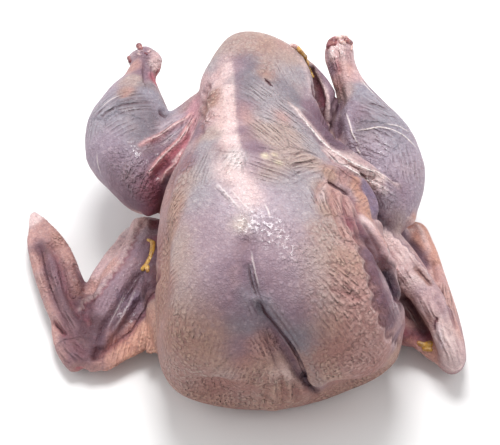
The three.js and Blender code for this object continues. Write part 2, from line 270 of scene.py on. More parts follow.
class Graph:
    """The node tree of one material, with the few builders that the finishes need."""

    def __init__(self, name: str) -> None:
        """Makes an empty material."""
        self.material = bpy.data.materials.new(name)
        self.material.use_nodes = True
        self.tree = self.material.node_tree
        self.tree.nodes.clear()

    def node(
        self,
        kind: str,
        settings: dict[str, object] | None = None,
        inputs: dict[str | int, object] | None = None,
        output: str | int = 0,
    ) -> Wire:
        """Adds a node.

        Args:
            kind: the node's type.
            settings: its properties, which are set first.
            inputs: values or wires by the name or number of a socket.
            output: the name or number of the output that is returned.

        Returns:
            The chosen output.
        """
        made = self.tree.nodes.new(kind)
        for key, value in (settings or {}).items():
            setattr(made, key, value)
        for key, value in (inputs or {}).items():
            if isinstance(value, Wire):
                self.tree.links.new(value.socket, made.inputs[key])
            else:
                made.inputs[key].default_value = value
        return Wire(self, made.outputs[output])

    def math(self, operation: str, first: "Wire | float", second: "Wire | float") -> Wire:
        """A Math node of two inputs."""
        return self.node("ShaderNodeMath", {"operation": operation}, {0: first, 1: second})

    def blend(self, share: "Wire | float", first: object, second: object, kind: str = "MIX") -> Wire:
        """A colour between two others, or one laid over the other by another kind of mixing."""
        settings = {"data_type": "RGBA", "blend_type": kind, "clamp_result": True}
        return self.node("ShaderNodeMix", settings, {0: share, 6: first, 7: second}, 2)

    def place(self) -> Wire:
        """The place on the piece, in metres."""
        return self.node("ShaderNodeTexCoord", output="Object")

    def noise(self, size: float, detail: float = 3.0, roughness: float = 0.55) -> Wire:
        """Cloudy noise whose clouds are about size millimetres wide."""
        inputs = {"Scale": 1 / (size * MM), "Detail": detail, "Roughness": roughness, "Vector": self.place()}
        return self.node("ShaderNodeTexNoise", {}, inputs)

    def wavering(self, size: float, amount: float) -> Wire:
        """The place on the piece, shifted by up to amount millimetres in clouds of a size."""
        inputs = {"Scale": 1 / (size * MM), "Detail": 2.0, "Vector": self.place()}
        cloud = self.node("ShaderNodeTexNoise", {}, inputs, "Color")
        shift = {0: cloud, 1: (amount * MM,) * 3, 2: self.place()}
        return self.node("ShaderNodeVectorMath", {"operation": "MULTIPLY_ADD"}, shift)

    def cells(self, size: float, place: Wire, feature: str) -> Wire:
        """The distance to the nearest of points size millimetres apart, or to the edges between them."""
        inputs = {"Scale": 1 / (size * MM), "Vector": place}
        return self.node("ShaderNodeTexVoronoi", {"feature": feature}, inputs)

    def attribute(self, name: str, output: str = "Fac") -> Wire:
        """An attribute of the piece."""
        return self.node("ShaderNodeAttribute", {"attribute_name": name}, output=output)

    def bump(self, height: Wire, depth: float, below: Wire | None = None) -> Wire:
        """A bump whose full height is depth millimetres, over an earlier one."""
        inputs: dict[str | int, object] = {"Height": height, "Distance": depth * MM, "Strength": 1.0}
        if below is not None:
            inputs["Normal"] = below
        return self.node("ShaderNodeBump", {}, inputs)

    def finish(self, **sockets: object) -> bpy.types.Material:
        """Closes the graph with a Principled shader.

        Args:
            sockets: its inputs, with underscores for the spaces in their names.

        Returns:
            The material.
        """
        inputs = {name.replace("_", " "): value for name, value in sockets.items()}
        shader = self.node("ShaderNodeBsdfPrincipled", {}, inputs)
        out = self.tree.nodes.new("ShaderNodeOutputMaterial")
        self.tree.links.new(shader.socket, out.inputs["Surface"])
        return self.material


@dataclass(frozen=True)
class SkinFinish:
    """Moist, thin skin over dark meat: painted tones, a net of creases, folds, fine lines and wet glints, with
    painted shade in the creases and painted highlights on the domes and crests.
    """

    dome_gap: float = 2.0
    fine_gap: float = 1.3
    pore_gap: float = 3.7
    dome_height: float = 0.7
    wrinkle_height: float = 0.85
    grain_height: float = 0.12
    line_height: float = 0.45
    bead_height: float = 1.9
    pore_height: float = 0.2
    speckle_height: float = 0.25
    line_width: float = 0.75
    glow: float = 0.06
    # tint of the paler copy of each tone, which gives the pale speckle and pores and the painted highlights
    highlight: Rgba = (1.0, 0.96, 0.9, 1.0)

    def material(self, groups: int) -> bpy.types.Material:
        """The skin's material.

        Args:
            groups: how many groups of fine lines the skin carries.

        Returns:
            The material.
        """
        graph = Graph("pheasant_skin")
        tone = graph.attribute("tone", "Color")
        pimply = graph.attribute("pimply")
        creped = graph.attribute("creped")
        wet = graph.attribute("wet")

        cloud = graph.noise(13, 4)
        blotch = graph.noise(4.5, 3, 0.6)
        speckle = graph.noise(1.7, 3, 0.7)
        beads = graph.noise(1.5, 2, 0.5)
        warped = graph.wavering(5, 2.2)
        domes = graph.cells(self.dome_gap, warped, "F1").step(0.72, 0.12)
        grain = graph.cells(self.fine_gap, warped, "DISTANCE_TO_EDGE").step(0.0, 0.3)
        pores = graph.cells(self.pore_gap, graph.place(), "F1").step(0.38, 0.12) * blotch.step(0.34, 0.56)
        ridges = self.folds(graph)

        pale, dark = self.lines(graph, groups)

        shade = tone
        # a paler copy of the tone, for pale speckle and pores and for painted highlights on domes and wrinkle
        # crests
        paler_and_highlight = graph.blend(1.0, tone, self.highlight, "SOFT_LIGHT")
        layers = (
            (cloud.step(0.45, 0.7) * 0.18, Tone.PURPLE_GREY.rgba),
            (cloud.step(0.48, 0.3) * 0.16, Tone.WARM_TAN.rgba),
            (blotch.step(0.52, 0.72) * 0.16, Tone.PALE_LILAC.rgba),
            (blotch.step(0.48, 0.3) * 0.16, Tone.PLUM.rgba),
            (speckle.step(0.52, 0.75) * 0.6, paler_and_highlight),
            (speckle.step(0.48, 0.28) * 0.38, Tone.PLUM.rgba),
            (pores * (1 - pimply * 0.35) * 0.4, paler_and_highlight),
            # painted shade between the domes and in the creases of the net, and painted highlight on the domes
            ((1 - domes) * (0.04 + pimply * 0.5), Tone.NECK_BROWN.rgba),
            ((1 - grain) * (0.16 + pimply * 0.14), Tone.CREASE_BROWN.rgba),
            (domes * pimply * 0.4, paler_and_highlight),
            # painted shade in the wrinkles' creases and painted highlight on their crests
            (creped * (1 - ridges) * 0.42, Tone.CREASE_BROWN.rgba),
            (creped * ridges * 0.45, paler_and_highlight),
            # pale sinews and painted highlights along the fine lines, and painted shade in the dark ones
            (pale * 0.95, Tone.SINEW_WHITE.rgba),
            (dark * 0.8, Tone.DARK_RED.rgba),
        )
        for share, colour in layers:
            shade = graph.blend(share, shade, colour)

        normal: Wire | None = None
        reliefs = (
            (domes * (0.15 + pimply), self.dome_height),
            (grain, self.grain_height),
            (ridges * creped, self.wrinkle_height),
            (pale - dark, self.line_height),
            (beads * wet, self.bead_height),
            (pores, self.pore_height),
            (speckle, self.speckle_height),
        )
        for height, depth in reliefs:
            normal = graph.bump(height, depth, normal)
        return graph.finish(
            Base_Color=shade,
            Roughness=0.6 - wet * 0.1 + (speckle - 0.5) * 0.3,
            Coat_Weight=wet * beads.step(0.5, 0.64),
            Coat_Roughness=0.12,
            Normal=normal,
            Subsurface_Weight=self.glow,
            Subsurface_Radius=(1.0, 0.45, 0.35),
            Subsurface_Scale=0.002,
            Specular_IOR_Level=0.3,
        )

    def lines(self, graph: Graph, groups: int) -> tuple["Wire | float", "Wire | float"]:
        """How strongly the pale fine lines, partly painted highlights, and the dark ones, painted shade, show
        over all groups.
        """
        pale: Wire | float = 0.0
        dark: Wire | float = 0.0
        for group in range(groups):
            profile = abs(graph.attribute(f"beside_{group}")).step(self.line_width, 0.0)
            ink = graph.attribute(f"ink_{group}")
            pale = profile * graph.math("MAXIMUM", ink, 0.0) + pale
            dark = profile * graph.math("MAXIMUM", 0.0 - ink, 0.0) + dark
        return pale, dark

    def folds(self, graph: Graph) -> Wire:
        """Fine folds side by side, which waver, fork and fade: 1 on their crests and 0 in their creases."""
        flow = graph.node("ShaderNodeAttribute", {"attribute_name": "flow"}, output="Vector")
        waver = graph.node("ShaderNodeTexNoise", {}, {"Scale": 0.7, "Detail": 2.0, "Vector": flow})
        patchy = graph.node("ShaderNodeTexNoise", {}, {"Scale": 1.3, "Detail": 1.0, "Vector": flow})
        across = graph.node("ShaderNodeSeparateXYZ", {}, {"Vector": flow})
        wave = graph.math("SINE", across * 2 * math.pi + waver * 11, 0.0)
        present = patchy.step(0.3, 0.6)
        return (wave * 0.5 + 0.5) * present + (1 - present) * 0.6


@dataclass(frozen=True)
class MoistFinish:
    """Fat, gristle or raw flesh: one tone that clouds over into a darker one, with a moist sheen."""

    name: str
    tone: Tone
    shadow: Tone
    clouds: float = 2.2
    roughness: float = 0.42
    glow: float = 0.2

    def material(self) -> bpy.types.Material:
        """The material."""
        graph = Graph(self.name)
        cloud = graph.noise(self.clouds, 3)
        fine = graph.noise(0.8, 2, 0.6)
        shade = graph.blend(cloud.step(0.42, 0.62), self.tone.rgba, self.shadow.rgba)
        shade = graph.blend(fine.step(0.5, 0.7) * 0.3, shade, Tone.CREAM.rgba)
        return graph.finish(
            Base_Color=shade,
            Roughness=self.roughness + (fine - 0.5) * 0.3,
            Normal=graph.bump(fine, 0.2, graph.bump(cloud, 0.5)),
            Subsurface_Weight=self.glow,
            Subsurface_Radius=(1.0, 0.5, 0.3),
            Subsurface_Scale=0.002,
            Coat_Weight=0.3,
            Coat_Roughness=0.2,
        )


@dataclass(frozen=True)
class Lamp:
    """A square soft lamp, placed in metres, with its power in watts."""

    name: str
    place: Place
    size: float
    power: float

    def add(self, aim: Place) -> None:
        """Adds the lamp, turned to a place in metres."""
        data = bpy.data.lights.new(self.name, "AREA")
        data.size = self.size
        data.energy = self.power
        lamp = bpy.data.objects.new(self.name, data)
        lamp.location = self.place
        lamp.rotation_euler = (Vector(aim) - Vector(self.place)).to_track_quat("-Z", "Y").to_euler()
        bpy.context.scene.collection.objects.link(lamp)


@dataclass(frozen=True)
class Studio:
    """A pale floor and soft studio light, in metres."""

    floor_size: float = 6.0
    floor_tone: Rgba = (0.93, 0.93, 0.93, 1.0)
    dust_tone: Rgba = (0.86, 0.86, 0.87, 1.0)
    room_light: float = 0.62
    bird: Place = (0.0, 0.0, 0.04)
    lamps: tuple[Lamp, ...] = (
        Lamp("key", (0.0, 0.38, 0.9), 0.4, 7.2),
        Lamp("left", (-0.9, 0.1, 0.6), 0.9, 2.2),
        Lamp("right", (0.95, 0.1, 0.55), 0.9, 2.4),
    )

    def build(self) -> None:
        """Adds the floor, the lamps and the even light of the room."""
        bpy.ops.mesh.primitive_grid_add(x_subdivisions=8, y_subdivisions=8, size=self.floor_size)
        floor = bpy.context.object
        floor.name = "studio_floor"
        graph = Graph("studio_floor")
        dust = graph.noise(300, 2)
        shade = graph.blend(dust * 0.06, self.floor_tone, self.dust_tone)
        floor.data.materials.append(graph.finish(Base_Color=shade, Roughness=0.7))
        for lamp in self.lamps:
            lamp.add(self.bird)
        world = bpy.data.worlds.new("studio")
        world.use_nodes = True
        background = world.node_tree.nodes["Background"]
        background.inputs["Color"].default_value = (1, 1, 1, 1)
        background.inputs["Strength"].default_value = self.room_light
        bpy.context.scene.world = world
        bpy.context.scene.view_settings.view_transform = "Standard"


@dataclass(frozen=True)
class Stroke:
    """A stroke over the skin along a line of the photograph, in millimetres.

    Width is half the stroke's breadth and height its rise. The tone covers it by a share, spread wider or
    narrower than the stroke. A step raises the side to the right of the line's run and lowers the other.
    An edge keeps the tone to the right (1) or left (-1) of the line and fades it over the soft distance.
    A scallop shifts the line sideways in bows, and a ripple makes it rise and fall in them.
    Each end fades over the taper, a share of the line's length.
    """

    line: tuple[Pixel, ...]
    width: float
    height: float = 0.0
    tone: Tone | None = None
    cover: float = 0.7
    step: float = 0.0
    spread: float = 1.0
    edge: int = 0
    soft: float = 1.2
    scallop: float = 0.0
    ripple: bool = False
    bow: float = 5.0
    taper: float = 0.2


@dataclass(frozen=True)
class Line:
    """A fine line on the skin, pale and raised where its ink is above zero, or else dark and sunk: pale lines
    are partly pale sinews and veins and partly painted highlights on crests, dark ones are painted shade in
    creases.
    """

    line: tuple[Pixel, ...]
    ink: float = 1.0
    taper: float = 0.25


@dataclass(frozen=True)
class Crepe:
    """A field of fine wrinkles about a pixel, which run towards another pixel, in millimetres."""

    at: Pixel
    toward: Pixel
    reach: float
    pitch: float = 1.6
    stretch: float = 5.0
    strength: float = 1.0


@dataclass(frozen=True)
class Nudge:
    """A soft push of all that lies about a pixel, to the right, up and near as the photograph shows it."""

    at: Pixel
    reach: float
    right: float = 0.0
    up: float = 0.0
    near: float = 0.0


def smooth_line(points: np.ndarray, gap: float = 0.5) -> np.ndarray:
    """A smooth line through points, by a Catmull-Rom curve.

    Args:
        points: the places to pass through, one a row.
        gap: the distance between samples, in millimetres.

    Returns:
        The samples, one a row.
    """
    if len(points) < 3:
        steps = max(int(np.linalg.norm(points[-1] - points[0]) / gap), 2)
        share = np.linspace(0, 1, steps)[:, None]
        return points[0] * (1 - share) + points[-1] * share
    padded = np.vstack([2 * points[0] - points[1], points, 2 * points[-1] - points[-2]])
    pieces = []
    for a, b, c, d in zip(padded, padded[1:], padded[2:], padded[3:]):
        steps = max(int(np.linalg.norm(c - b) / gap), 2)
        t = np.linspace(0, 1, steps, endpoint=False)[:, None]
        pieces.append(
            0.5 * (2 * b + (c - a) * t + (2 * a - 5 * b + 4 * c - d) * t**2 + (3 * b - a - 3 * c + d) * t**3)
        )
    return np.vstack([*pieces, points[-1:]])


class Skin:
    """The bird's skin while it is worked on: its points, its colours and the brushes that change them."""

    def __init__(self, piece: bpy.types.Object, view: PhotoView) -> None:
        """Reads the piece's mesh.

        Args:
            piece: the skin's object, with a finished mesh.
            view: the photograph's view, which places the strokes.
        """
        self.piece = piece
        self.view = view
        mesh = piece.data
        self.points = np.empty(len(mesh.vertices) * 3)
        mesh.vertices.foreach_get("co", self.points)
        self.points = self.points.reshape(-1, 3) / MM
        self.corners = [tuple(face.vertices) for face in mesh.polygons]
        self.quads = np.array([face + face[-1:] * (4 - len(face)) for face in self.corners])
        self.tones = np.tile(Tone.LILAC.colour, (len(self.points), 1))
        self.layers = {name: np.zeros(len(self.points)) for name in ("pimply", "wet")}
        self.flow = np.zeros((len(self.points), 3))
        self.refresh()

    def refresh(self) -> None:
        """Works out the normals and the search tree again."""
        a, b, c, d = (self.points[self.quads[:, i]] for i in range(4))
        normals = np.cross(c - a, d - b)
        total = np.zeros_like(self.points)
        for corner in range(4):
            np.add.at(total, self.quads[:, corner], normals)
        self.normals = unit(total)
        self.tree = BVHTree.FromPolygons(self.points.tolist(), self.corners)

    def find(self, pixel: Pixel) -> np.ndarray:
        """The place on the skin that a pixel shows.

        Args:
            pixel: the pixel. Where it just misses the bird, the nearest one that shows it is taken.

        Returns:
            The place, in millimetres.
        """
        for ring in range(SEARCH_REACH):
            turns = max(ring * SEARCH_TURNS, 1)
            for turn in range(turns):
                angle = 2 * math.pi * turn / turns
                aim = (pixel[0] + ring * math.cos(angle), pixel[1] + ring * math.sin(angle))
                hit = self.tree.ray_cast(Vector(self.view.eye), Vector(self.view.ray(aim)))
                if hit[0] is not None:
                    return np.array(hit[0])
        raise ValueError(f"pixel {pixel} shows no part of the bird")

    def aim(self, pixel: Pixel) -> np.ndarray:
        """The place in line with a pixel, as far away as the skin is there."""
        ray = self.view.ray(pixel)
        return self.view.eye + ray * ((self.find(pixel) - self.view.eye) @ ray)

    def trace(self, line: Sequence[Pixel]) -> np.ndarray:
        """A smooth line on the skin under a line of pixels.

        Args:
            line: the pixels.

        Returns:
            The samples of the line, one a row.
        """
        samples = smooth_line(np.array([self.find(pixel) for pixel in line]))
        return np.array([np.array(self.tree.find_nearest(Vector(spot))[0]) for spot in samples])

    def beside(self, samples: np.ndarray, reach: float) -> tuple[np.ndarray, ...]:
        """How the skin's points lie beside a line.

        Args:
            samples: the samples of a line.
            reach: how far from the line points are looked for, in millimetres.

        Returns:
            The points' numbers, their distances, their shares of the line's length, and the distance to the
            right of the line's run.
        """
        low = samples.min(0) - reach
        high = samples.max(0) + reach
        near = np.flatnonzero(((self.points > low) & (self.points < high)).all(1))
        gaps = np.linalg.norm(self.points[near, None] - samples[None], axis=2)
        nearest = gaps.argmin(1)
        distance = gaps[np.arange(len(near)), nearest]
        facing = self.facing(samples[:: max(len(samples) // FACING_SAMPLES, 1)])
        local = facing[np.minimum(nearest * len(facing) // len(samples), len(facing) - 1)]
        agreeing = np.clip((self.normals[near] * local).sum(1) * 2 + 0.6, 0, 1)
        kept = (distance < reach) & (agreeing > 0)
        near, nearest, distance = near[kept], nearest[kept], distance[kept]
        right = np.cross(unit(np.gradient(samples, axis=0))[nearest], local[kept])
        side = ((self.points[near] - samples[nearest]) * right).sum(1)
        return near, distance / np.maximum(agreeing[kept], 0.05), nearest / max(len(samples) - 1, 1), side

    def closest(self, spot: np.ndarray) -> int:
        """The number of the skin's point that is nearest to a place."""
        face = self.tree.find_nearest(Vector(spot))[2]
        corners = list(self.corners[face])
        return corners[int(np.linalg.norm(self.points[corners] - spot, axis=1).argmin())]

    def facing(self, spots: np.ndarray) -> np.ndarray:
        """The skin's normals at places, one a row."""
        return np.array([self.normals[self.closest(spot)] for spot in spots])

    def around(self, spot: np.ndarray) -> np.ndarray:
        """How far each of the skin's points is from a place."""
        return np.linalg.norm(self.points - spot, axis=1)

    def nudge(self, nudges: Sequence[Nudge]) -> None:
        """Moves parts of the bird.

        Args:
            nudges: the pushes, all worked from the same start.
        """
        moves = np.zeros_like(self.points)
        for push in nudges:
            move = np.array([push.right, 0.0, 0.0]) + self.view.upward * push.up
            move -= self.view.forward * push.near
            moves += move * fade(self.around(self.find(push.at)), push.reach)[:, None]
        self.points += moves
        self.refresh()

    def brush(self, strokes: Sequence[Stroke]) -> None:
        """Pushes the skin and paints it along strokes.

        Args:
            strokes: the strokes, worked in order.
        """
        moves = np.zeros(len(self.points))
        for stroke in strokes:
            samples = self.trace(stroke.line)
            if stroke.scallop:
                samples = self.scalloped(samples, stroke)
            reach = stroke.width * max(RISE_REACH, PAINT_REACH * stroke.spread)
            near, distance, share, side = self.beside(samples, reach)
            ends = ease_in(share, stroke.taper)
            ends = np.sqrt(ends * (2 - ends))
            rise = fade(distance, stroke.width) * ends * stroke.height
            if stroke.ripple:
                rise *= 0.25 + np.abs(np.sin(np.pi * share * lengths(samples)[-1] / stroke.bow))
            lean = np.tanh(side / stroke.width) * fade(distance, LEAN_REACH * stroke.width) * ends
            moves[near] += rise + stroke.step * lean
            if stroke.tone is not None:
                paint = fade(distance, stroke.width * stroke.spread) * ends * stroke.cover
                if stroke.edge:
                    paint *= np.clip(0.5 + side * stroke.edge / stroke.soft, 0, 1)
                self.tones[near] += (stroke.tone.colour - self.tones[near]) * paint[:, None]
        self.points += self.normals * moves[:, None]
        self.refresh()

    def draw(self, lines: Sequence[Line]) -> int:
        """Lays fine lines on the skin, as their distance and their ink, in groups whose lines keep apart.

        Args:
            lines: the lines.

        Returns:
            How many groups the lines took.
        """
        groups: list[tuple[np.ndarray, np.ndarray]] = []
        for line in lines:
            samples = self.trace(line.line)
            near, distance, share, side = self.beside(samples, LINE_REACH)
            free = [group for group in groups if not group[1][near].any()]
            if not free:
                groups.append((np.full(len(self.points), NO_LINE), np.zeros(len(self.points))))
                free = groups[-1:]
            beside, inks = free[0]
            beside[near] = np.where(side < 0, -distance, distance)
            inks[near] = line.ink * ease_in(share, line.taper) * np.clip(INK_REACH - distance, 0, 1)
        for number, (beside, inks) in enumerate(groups):
            self.layers[f"beside_{number}"] = beside
            self.layers[f"ink_{number}"] = inks
        return len(groups)

    def wrinkle(self, fields: Sequence[Crepe]) -> None:
        """Lays fields of fine wrinkles on the skin, as a place along and across them and a strength.

        Args:
            fields: the fields. A point belongs to the strongest one there.
        """
        best = np.zeros(len(self.points))
        second = np.zeros(len(self.points))
        for number, crepe in enumerate(fields):
            spot = self.find(crepe.at)
            facing = self.normals[self.closest(spot)]
            along = self.find(crepe.toward) - spot
            along -= facing * (along @ facing)
            along /= np.linalg.norm(along)
            agreeing = np.clip((self.normals @ facing) * 1.5, 0, 1)
            strength = crepe.strength * agreeing * fade(self.around(spot), crepe.reach, 4)
            offset = self.points - spot
            across = offset @ np.cross(along, facing) / crepe.pitch
            run = offset @ along / (crepe.pitch * crepe.stretch)
            wins = strength > best
            second = np.where(wins, best, np.maximum(second, strength))
            best = np.where(wins, strength, best)
            place = np.stack([across, run, np.full(len(across), number * FIELD_GAP)], axis=1)
            self.flow[wins] = place[wins]
        self.layers["creped"] = np.clip((best - second) * 2.5, 0, best)

    def scalloped(self, samples: np.ndarray, stroke: Stroke) -> np.ndarray:
        """A line shifted sideways in bows."""
        right = np.cross(unit(np.gradient(samples, axis=0)), self.facing(samples))
        bows = np.abs(np.sin(np.pi * lengths(samples) / stroke.bow))
        return samples + right * (bows * stroke.scallop)[:, None]

    def paint(self, patches: Sequence[ToneDabs], base: Tone, base_weight: float = 0.02) -> None:
        """Paints the whole skin from soft patches, which mix where they meet.

        Args:
            patches: tones with their dabs, at pixels or at places on the sides that the photograph hides.
            base: the tone between all patches.
            base_weight: how much of it is in every mixture.
        """
        total = np.full(len(self.points), base_weight)
        mixed = np.tile(base.colour * base_weight, (len(self.points), 1))
        for tone, dabs in patches:
            for *at, reach, strength in dabs:
                spot = self.find(at) if len(at) == 2 else np.array(at)
                facing = self.normals[self.closest(spot)]
                agreeing = np.clip(0.65 + 0.6 * (self.normals @ facing), 0.02, 1)
                weight = strength * agreeing * fade(self.around(spot), reach)
                total += weight
                mixed += tone.colour * weight[:, None]
        self.tones = mixed / total[:, None]

    def mark(self, layer: str, dabs: Sequence[Dab]) -> None:
        """Raises a layer about pixels.

        Args:
            layer: the layer's name.
            dabs: the pixels, each with a reach and a strength.
        """
        value = self.layers[layer]
        for *pixel, reach, strength in dabs:
            np.maximum(value, strength * fade(self.around(self.find(pixel)), reach, 4), out=value)

    def relax(self, rounds: int, share: float = 0.5) -> None:
        """Evens the skin by moving each point towards the middle of its neighbours.

        Args:
            rounds: how many times.
            share: how far each point moves.
        """
        count = np.zeros(len(self.points))
        edges = np.vstack([self.quads[:, [i, (i + 1) % 4]] for i in range(4)])
        for column in range(2):
            np.add.at(count, edges[:, column], 1)
        for _ in range(rounds):
            total = np.zeros_like(self.points)
            np.add.at(total, edges[:, 0], self.points[edges[:, 1]])
            np.add.at(total, edges[:, 1], self.points[edges[:, 0]])
            self.points += (total / count[:, None] - self.points) * share
        self.refresh()

    def store(self) -> None:
        """Writes the points, the tones and the layers to the piece's mesh."""
        mesh = self.piece.data
        mesh.vertices.foreach_set("co", (self.points * MM).ravel())
        tone = mesh.color_attributes.new("tone", "FLOAT_COLOR", "POINT")
        rgba = np.hstack([np.clip(self.tones, 0, 1), np.ones((len(self.points), 1))])
        tone.data.foreach_set("color", rgba.ravel())
        for name, value in self.layers.items():
            layer = mesh.attributes.new(name, "FLOAT", "POINT")
            layer.data.foreach_set("value", value)
        flow = mesh.attributes.new("flow", "FLOAT_VECTOR", "POINT")
        flow.data.foreach_set("vector", self.flow.ravel())
        mesh.update()


def pick_none() -> None:
    """Deselects every object."""
    bpy.ops.object.select_all(action="DESELECT")


def apply_modifier(piece: bpy.types.Object, kind: str, **settings: object) -> None:
    """Changes a piece's mesh by one modifier of a kind, with its settings."""
    modifier = piece.modifiers.new(kind.lower(), kind)
    for key, value in settings.items():
        setattr(modifier, key, value)
    bpy.ops.object.modifier_apply(modifier=modifier.name)


def dress(piece: bpy.types.Object, material: bpy.types.Material) -> None:
    """Smooths a piece's shading and gives it its one material."""
    piece.data.shade_smooth()
    piece.data.materials.clear()
    piece.data.materials.append(material)


@dataclass
class Carcass:
    """The bird's skin over its whole body, with its folds, wrinkles and colours."""

    view: PhotoView
    grain: float = 0.95
    hidden_share: float = 0.3
    hidden_tilt: float = 0.25
    first_rounds: int = 8
    last_share: float = 0.25
    node: str = "pheasant"
    finish: SkinFinish = field(default_factory=SkinFinish)

    def build(self) -> Skin:
        """Shapes, paints and dresses the skin.

        Returns:
            The finished skin, on which the trimmings are laid.
        """
        piece = self.base()
        skin = Skin(piece, self.view)
        skin.relax(self.first_rounds)
        skin.nudge(NUDGES)
        skin.paint(PATCHES, Tone.LILAC)
        skin.mark("pimply", PIMPLY_SPOTS)
        skin.mark("wet", WET_SPOTS)
        for strokes in (TRUNK_FOLDS, LEG_FOLDS, LEFT_WING_FOLDS, RIGHT_WING_FOLDS):
            skin.brush(strokes)
        skin.relax(1, self.last_share)
        skin.wrinkle(CREPE_FIELDS)
        groups = skin.draw(FINE_LINES)
        skin.store()
        dress(piece, self.finish.material(groups))
        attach(piece, "root")
        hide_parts(self.node)
        triangles = len(piece.data.loops) - 2 * len(piece.data.polygons)
        LOG.info("skin: %d points, %d triangles", len(piece.data.vertices), triangles)
        return skin

    def base(self) -> bpy.types.Object:
        """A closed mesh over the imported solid, with small even faces where the photograph shows the bird."""
        pick_none()
        piece = bpy.data.objects.new("bird_skin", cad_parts[self.node].data.copy())
        bpy.context.scene.collection.objects.link(piece)
        bpy.context.view_layer.objects.active = piece
        piece.select_set(True)
        bpy.ops.object.mode_set(mode="EDIT")
        bpy.ops.mesh.select_all(action="SELECT")
        bpy.ops.mesh.remove_doubles(threshold=0.00001)
        bpy.ops.object.mode_set(mode="OBJECT")
        apply_modifier(piece, "REMESH", mode="VOXEL", voxel_size=self.grain * MM)
        self.thin_out(piece)
        return piece

    def thin_out(self, piece: bpy.types.Object) -> None:
        """Joins small faces into larger ones on the sides that the photograph doesn't show."""
        normals = np.empty(len(piece.data.polygons) * 3)
        piece.data.polygons.foreach_get("normal", normals)
        away = normals.reshape(-1, 3) @ self.view.forward > self.hidden_tilt
        bpy.ops.object.mode_set(mode="EDIT")
        bpy.ops.mesh.select_all(action="DESELECT")
        bpy.ops.object.mode_set(mode="OBJECT")
        piece.data.polygons.foreach_set("select", away)
        bpy.ops.object.mode_set(mode="EDIT")
        bpy.ops.mesh.select_mode(type="FACE")
        bpy.ops.mesh.decimate(ratio=self.hidden_share)
        bpy.ops.object.mode_set(mode="OBJECT")


@dataclass(frozen=True)
class Lump:
    """A lump of fat, gristle or flesh, or a string of them from one radius to another, in millimetres."""

    line: tuple[Pixel, ...]
    radius: float
    last: float | None = None


@dataclass
class Trimming:
    """What sticks out where the bird was cut: lumps that have grown together into one soft piece."""

    name: str
    lumps: tuple[Lump, ...]
    finish: MoistFinish
    grain: float = 0.4
    gap: float = 0.7

    def build(self, skin: Skin) -> bpy.types.Object:
        """Sets the lumps on the skin and melts them together.

        Args:
            skin: the finished skin.

        Returns:
            The trimming's object.
        """
        balls = []
        for lump in self.lumps:
            places = smooth_line(np.array([skin.aim(pixel) for pixel in lump.line]), self.gap)
            last = lump.radius if lump.last is None else lump.last
            for share, place in zip(np.linspace(0, 1, len(places)), places):
                pick_none()
                radius = lump.radius * (1 - share) + last * share
                bpy.ops.mesh.primitive_ico_sphere_add(subdivisions=2, radius=radius * MM, location=place * MM)
                balls.append(bpy.context.object)
        pick_none()
        for ball in balls:
            ball.select_set(True)
        bpy.ops.object.join()
        bpy.ops.object.transform_apply(location=True, rotation=True, scale=True)
        piece = bpy.context.object
        piece.name = self.name
        apply_modifier(piece, "REMESH", mode="VOXEL", voxel_size=self.grain * MM)
        apply_modifier(piece, "SMOOTH", iterations=4)
        dress(piece, self.finish.material())
        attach(piece, "root")
        LOG.info("%s: %d faces", self.name, len(piece.data.polygons))
        return piece


# What sticks out where the bird was cut

YELLOW_FAT = MoistFinish("yellow_fat", Tone.FAT, Tone.OLD_FAT)
RAW_FLESH = MoistFinish("raw_flesh", Tone.FLESH, Tone.WINE)
GRISTLE = MoistFinish("gristle", Tone.KEEL_PINK, Tone.ROSE)
PALE_FLESH = MoistFinish("pale_flesh", Tone.HOCK_PINK, Tone.WING_LILAC)

TRIMMINGS = (
    Trimming("left_wing_fat", (
        Lump(((148, 240), (151, 241), (153, 243)), 0.8, 1.1),
        Lump(((153, 243), (152, 252), (150, 260)), 1.3, 1.2),
        Lump(((150, 260), (147, 265), (143, 269)), 1.6, 1.2),
        Lump(((147, 267), (148, 271)), 1.3, 1.0),
    ), YELLOW_FAT),
    Trimming("belly_fat", (
        Lump(((298, 48), (301, 52), (305, 57)), 1.1, 1.3),
        Lump(((305, 57), (308, 63), (311, 71)), 0.8, 0.6),
        Lump(((311, 71), (313, 77)), 0.5, 0.9),
    ), YELLOW_FAT),
    Trimming("right_wing_fat", (
        Lump(((419, 343), (424, 345), (430, 344)), 1.1, 1.6),
        Lump(((424, 349), (431, 350)), 1.0),
    ), YELLOW_FAT),
    Trimming("belly_nub", (Lump(((292, 46), (296, 47)), 1.5),), GRISTLE),
    Trimming("left_hock_flesh", (
        Lump(((139, 46), (141, 49)), 1.6, 1.1),
        Lump(((129, 58), (130, 61)), 1.2, 1.1),
        Lump(((145, 53), (147, 54)), 0.7, 0.6),
    ), RAW_FLESH),
    Trimming("left_hock_gristle", (
        Lump(((139, 51), (143, 51)), 0.8, 0.7),
        Lump(((138, 54), (141, 55)), 0.7),
        Lump(((148, 52), (150, 51)), 0.8),
    ), PALE_FLESH),
    Trimming("right_hock_flesh", (
        Lump(((329, 46), (331, 42), (334, 40)), 1.6, 1.7),
        Lump(((334, 44),), 1.4),
        Lump(((347, 41), (351, 43)), 1.7, 1.2),
    ), RAW_FLESH),
    Trimming("right_hock_gristle", (
        Lump(((338, 38), (342, 37), (346, 38)), 1.5, 1.4),
        Lump(((341, 42), (344, 43)), 1.2),
        Lump(((352, 46), (351, 50)), 0.8),
    ), GRISTLE),
)

# Pushes that bring the outline to the photograph's

